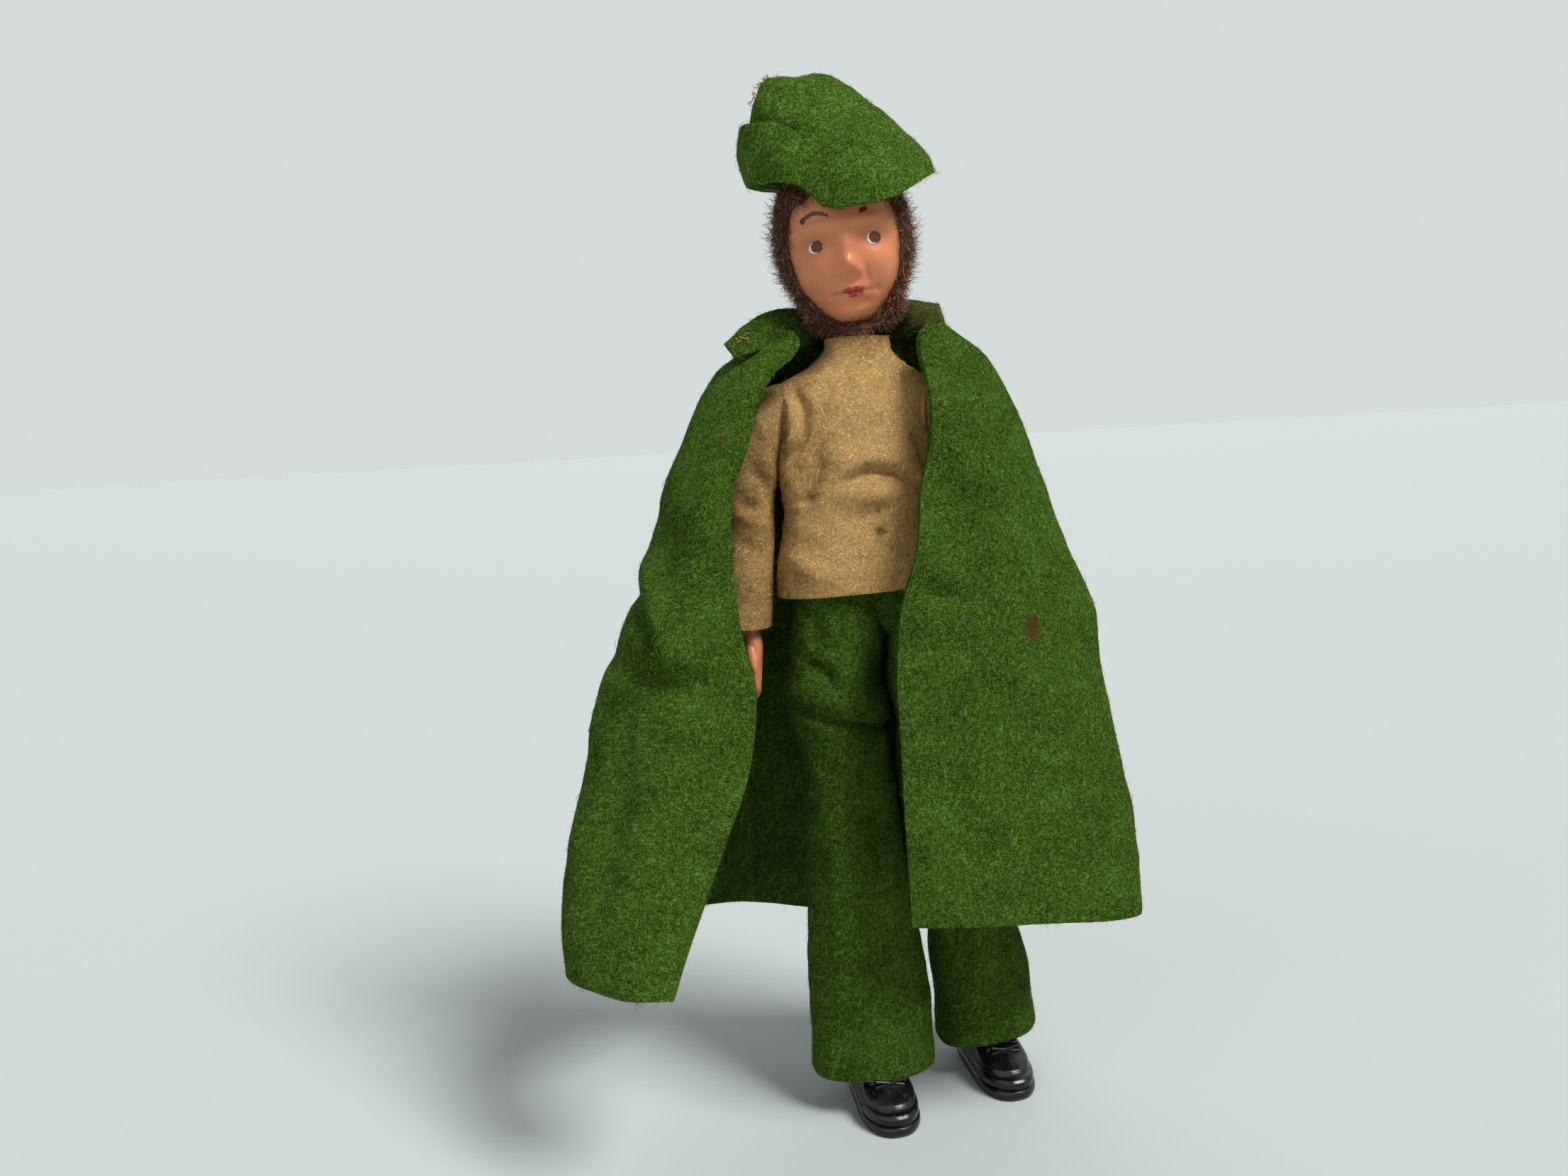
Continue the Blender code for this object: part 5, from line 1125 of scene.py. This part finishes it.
def make_cap(looks):
    work = surface(crown_point, 110, 44, closed=True)
    bmesh.ops.remove_doubles(work, verts=work.verts, dist=0.05)
    rim = [edge for edge in work.edges if edge.is_boundary and edge.calc_length() < 1.2
           and all(vert.co.z > 24.4 and abs(vert.co.y) < 1.2 for vert in edge.verts)]
    bmesh.ops.triangle_fill(work, use_beauty=True, use_dissolve=False, edges=rim)
    bmesh.ops.recalc_face_normals(work, faces=work.faces)
    face_out(work, lambda spot: Vector((2.15, 0.0, 24.0)))
    emboss(work, lambda place: unevenness(place, 5.0, 0.35, 13.0) + unevenness(place, 2.0, 0.12, 8.0)
           + (sum(groove(place, *fold) for fold in CAP_FOLDS) if place.y < 0 else 0.0))
    crown = to_mesh("crown", work, FIGURE @ HEAD, wall=FELT, bevel=0.2)
    work = surface(brim_point, 90, 16)
    face_out(work, lambda spot: Vector((2.15, 0.0, spot.z)))
    emboss(work, lambda place: unevenness(place, 4.0, 0.25, 17.0))
    brim = to_mesh("brim", work, FIGURE @ HEAD, wall=1.2, offset=0.0, bevel=0.42)
    middle = tuple(FIGURE @ HEAD @ Vector((2.15, 0.0, 0.0)))
    for name, mesh, slot, node, seed in (("cap_crown", crown, "hat_felt", "hat_crown", 71),
                                         ("cap_brim", brim, "brim_felt", "hat_brim", 72)):
        fuzz = fuzz_on(name + "_fuzz", mesh, 3.6, looks["green_fuzz"], seed, inner=0.15, middle=middle)
        carry(show(name, mesh, looks["cap"]), "head", (node,))
        carry(fuzz, "head")
    places = [cap_point(-math.asin(1 - 0.26 * share), 0.97) for share in np.linspace(0.02, 1, 11)]
    make_stitches("cap_thread", places, Vector((-0.8, -0.25, 0.5)), looks["thread"], "head", "hat_stitches", 73, HEAD)


# ---- Hands ------------------------------------------------------------------------------------------

def hand_point(sign, wrist, around, down):
    """A flat relaxed hand whose lower half is grooved into four fingers."""
    turn = 2 * HALF_TURN * around
    marks = (0.0, 0.07, 0.2, 0.36, 0.55, 0.74, 0.88, 0.96, 1.0)
    wide = curve_through(marks, (1.55, 1.5, 1.95, 2.7, 2.85, 2.45, 1.95, 1.3, 0.05), down)
    thick = curve_through(marks, (1.25, 1.15, 1.2, 1.42, 1.3, 1.05, 0.85, 0.6, 0.05), down)
    x, y = oval(turn, thick, wide, 2.5)
    if down > 0.5:
        part = min(1.0, (down - 0.5) * 6)
        x *= 1 - 0.20 * part * (0.5 + 0.5 * math.cos(2 * HALF_TURN * (y / (2 * wide + 1e-6) * 4)))
    curve = 0.35 * down ** 2 * 2.9
    drop = 14.2 * down - 0.6 + (0.5 * math.cos(2 * HALF_TURN * y / 3.0) if down > 0.9 else 0.0) * (down - 0.9) * 8
    return Vector((wrist.x - sign * (0.3 + 0.9 * min(1.0, 2.2 * down)) + x, wrist.y - curve + y, wrist.z + 1.6 - drop))


def make_hands(looks):
    for side, sign in SIDES.items():
        wrist = Vector((18.3 * sign, -0.4, 78.6))
        work = surface(lambda around, down: hand_point(sign, wrist, around, down), 56, 44, closed=True)
        bmesh.ops.holes_fill(work, edges=[edge for edge in work.edges if edge.is_boundary], sides=0)
        bmesh.ops.recalc_face_normals(work, faces=work.faces)
        root, tip = wrist + Vector((-0.6 * sign, -1.6, -2.6)), wrist + Vector((-1.2 * sign, -3.9, -7.4))
        turn = (tip - root).to_track_quat("Z", "Y").to_matrix().to_4x4()
        thumb = bmesh.ops.create_uvsphere(work, u_segments=18, v_segments=14, radius=1.0)["verts"]
        bmesh.ops.scale(work, verts=thumb, vec=(0.85, 0.75, 3.1))
        bmesh.ops.transform(work, verts=thumb, matrix=Matrix.Translation((root + tip) / 2) @ turn)
        mesh = to_mesh("hand", work)
        hand = show("moulded_hand_" + side, mesh, looks["skin"], 70.0)
        carry(hand, "hand_" + side, ("hand_" + side,))


# ---- Boots ------------------------------------------------------------------------------------------

BOOT_ROWS = ((0.0, 0.955, 0.95, 0.90), (0.012, 0.985, 0.985, 0.965), (0.05, 1.0, 1.0, 1.0), (0.10, 1.0, 1.0, 1.0),
             (0.125, 0.99, 0.99, 0.985), (0.14, 0.965, 0.965, 0.94), (0.17, 0.985, 0.965, 0.96), (0.235, 0.985, 0.965, 0.965),
             (0.275, 0.955, 0.96, 0.955), (0.292, 0.905, 0.957, 0.935), (0.315, 0.90, 0.955, 0.93),
             (0.36, 0.875, 0.95, 0.92), (0.41, 0.80, 0.945, 0.90), (0.46, 0.71, 0.94, 0.88), (0.52, 0.60, 0.93, 0.85),
             (0.60, 0.48, 0.92, 0.81), (0.70, 0.39, 0.90, 0.77), (0.84, 0.35, 0.875, 0.76), (0.95, 0.335, 0.86, 0.765),
             (0.985, 0.32, 0.84, 0.74), (1.0, 0.28, 0.80, 0.68))
BOOTS = {"r": ((-1.9, 2.2, 8.5), 10.5), "l": ((17.2, 10.8, 8.5), 12.0)}


def boot_point(around, up):
    rows = [list(column) for column in zip(*BOOT_ROWS)]
    marks = [index / (len(rows[0]) - 1) for index in range(len(rows[0]))]
    height, toe, heel, wide = (between(marks, column, up) for column in rows)
    turn = 2 * HALF_TURN * around
    c, s = math.cos(turn), math.sin(turn)
    front, back = -15.1 * toe, 6.9 * heel
    y = (front + back) / 2 + (back - front) / 2 * math.copysign(abs(s) ** 0.85, s)
    heel_part = max(0.0, min(1.0, (y + 15.1) / 22.0))
    ball = 1.0 - 0.22 * math.sin(HALF_TURN * heel_part) ** 2 * heel_part
    x = 5.25 * wide * (ball - 0.12 * heel_part) * math.copysign(abs(c) ** 0.85, c)
    return Vector((x, y, 11.8 * height - 8.5))


def make_boots(looks):
    for side, (ankle, yaw) in BOOTS.items():
        place = FIGURE @ Matrix.Translation(ankle) @ Matrix.Rotation(math.radians(yaw), 4, "Z")
        work = surface(boot_point, 96, 80, closed=True)
        bmesh.ops.holes_fill(work, edges=[edge for edge in work.edges if edge.is_boundary], sides=0)
        bmesh.ops.recalc_face_normals(work, faces=work.faces)
        emboss(work, lambda spot: unevenness(spot, 3.0, 0.12, 19.0) + unevenness(spot, 1.1, 0.035, 23.0)
               if spot.z > -8.2 else 0.0)
        mesh = to_mesh("boot", work, place)
        boot = show("moulded_boot_" + side, mesh, looks["boot"], 55.0)
        carry(boot, "foot_" + side, ("boot_" + side,))
        work = bmesh.new()
        for height, toe in ((0.50, 0.62), (0.565, 0.535), (0.635, 0.455)):
            for lean in (-1, 1):
                spot = Vector((0.0, -15.1 * toe - 0.25, 11.8 * height - 8.5 + 0.15))
                lace = bmesh.ops.create_cone(work, cap_ends=True, segments=10, radius1=0.36, radius2=0.36, depth=4.6)
                turn = Matrix.Rotation(HALF_TURN / 2 + lean * 0.22, 4, "Y")
                bmesh.ops.transform(work, verts=lace["verts"], matrix=Matrix.Translation(spot) @ turn)
            for across in (-1, 1):
                ring = bmesh.ops.create_uvsphere(work, u_segments=12, v_segments=8, radius=0.55)
                bmesh.ops.transform(work, verts=ring["verts"], matrix=Matrix.Translation(
                    (across * 2.45, -15.1 * toe + 0.55, 11.8 * height - 8.5 + 0.1)))
        mesh = to_mesh("laces", work, place)
        carry(show("boot_laces_" + side, mesh, looks["boot"], 40.0), "foot_" + side)


# ---- Carried-over nodes, floor and light ---------------------------------------------------------------

def paint_nodes(looks):
    for name, node in frame["nodes"].items():
        if name.startswith("armature"):
            finish = looks["wire"]
        elif name.startswith("hip_padding"):
            finish = looks["green"]
        elif "padding" in name or name == "torso_core":
            finish = looks["padding"]
        elif name == "neck_stalk":
            finish = looks["skin"]
        else:
            continue
        for slot in node.material_slots:
            slot.material = finish


# Name, place, strength and spread in degrees
LAMPS = (("key", (0.68, -0.55, 1.10), 3.5, 22.0), ("fill", (-0.6, -1.0, 0.5), 0.6, 70.0),
         ("back", (0.1, 1.0, 0.9), 0.75, 70.0))


def make_stage():
    """A pale floor, a white world that lights less than the camera and reflections see, and three soft lamps."""
    work = bmesh.new()
    bmesh.ops.create_grid(work, x_segments=1, y_segments=1, size=30.0)
    mesh = bpy.data.meshes.new("floor")
    work.to_mesh(mesh)
    work.free()
    paint = Paint("floor_white", Base_Color=(0.485, 0.528, 0.522, 1.0), Roughness=0.9)
    mesh.materials.append(paint.material)
    floor = bpy.data.objects.new("floor", mesh)
    bpy.context.collection.objects.link(floor)
    world = bpy.data.worlds.new("studio")
    bpy.context.scene.world = world
    world.use_nodes = True
    tree = world.node_tree
    background = tree.nodes["Background"]
    ray = tree.nodes.new("ShaderNodeLightPath")
    seen = tree.nodes.new("ShaderNodeMath")
    seen.operation = "MAXIMUM"
    also = tree.nodes.new("ShaderNodeMath")
    also.operation = "MAXIMUM"
    tree.links.new(ray.outputs["Is Camera Ray"], seen.inputs[0])
    tree.links.new(ray.outputs["Is Glossy Ray"], seen.inputs[1])
    tree.links.new(seen.outputs[0], also.inputs[0])
    tree.links.new(ray.outputs["Is Transmission Ray"], also.inputs[1])
    strength = tree.nodes.new("ShaderNodeMapRange")
    strength.inputs["To Min"].default_value = 0.19
    strength.inputs["To Max"].default_value = 0.715
    tree.links.new(also.outputs[0], strength.inputs["Value"])
    tree.links.new(strength.outputs[0], background.inputs["Strength"])
    background.inputs["Color"].default_value = (0.93, 1.0, 0.99, 1.0)
    for name, place, strength, spread in LAMPS:
        light = bpy.data.lights.new(name, "SUN")
        light.energy = strength
        light.angle = math.radians(spread)
        lamp = bpy.data.objects.new(name, light)
        bpy.context.collection.objects.link(lamp)
        lamp.matrix_world = Matrix.Translation(place) @ Vector(place).to_track_quat("Z", "Y").to_matrix().to_4x4()
    bpy.context.scene.view_settings.view_transform = "Standard"


def main():
    place_camera()
    looks = make_finishes()
    paint_nodes(looks)
    make_cape(looks)
    make_collar(looks)
    make_jumper(looks)
    make_trousers(looks)
    make_head(looks)
    make_cap(looks)
    make_hands(looks)
    make_boots(looks)
    make_stage()


main()
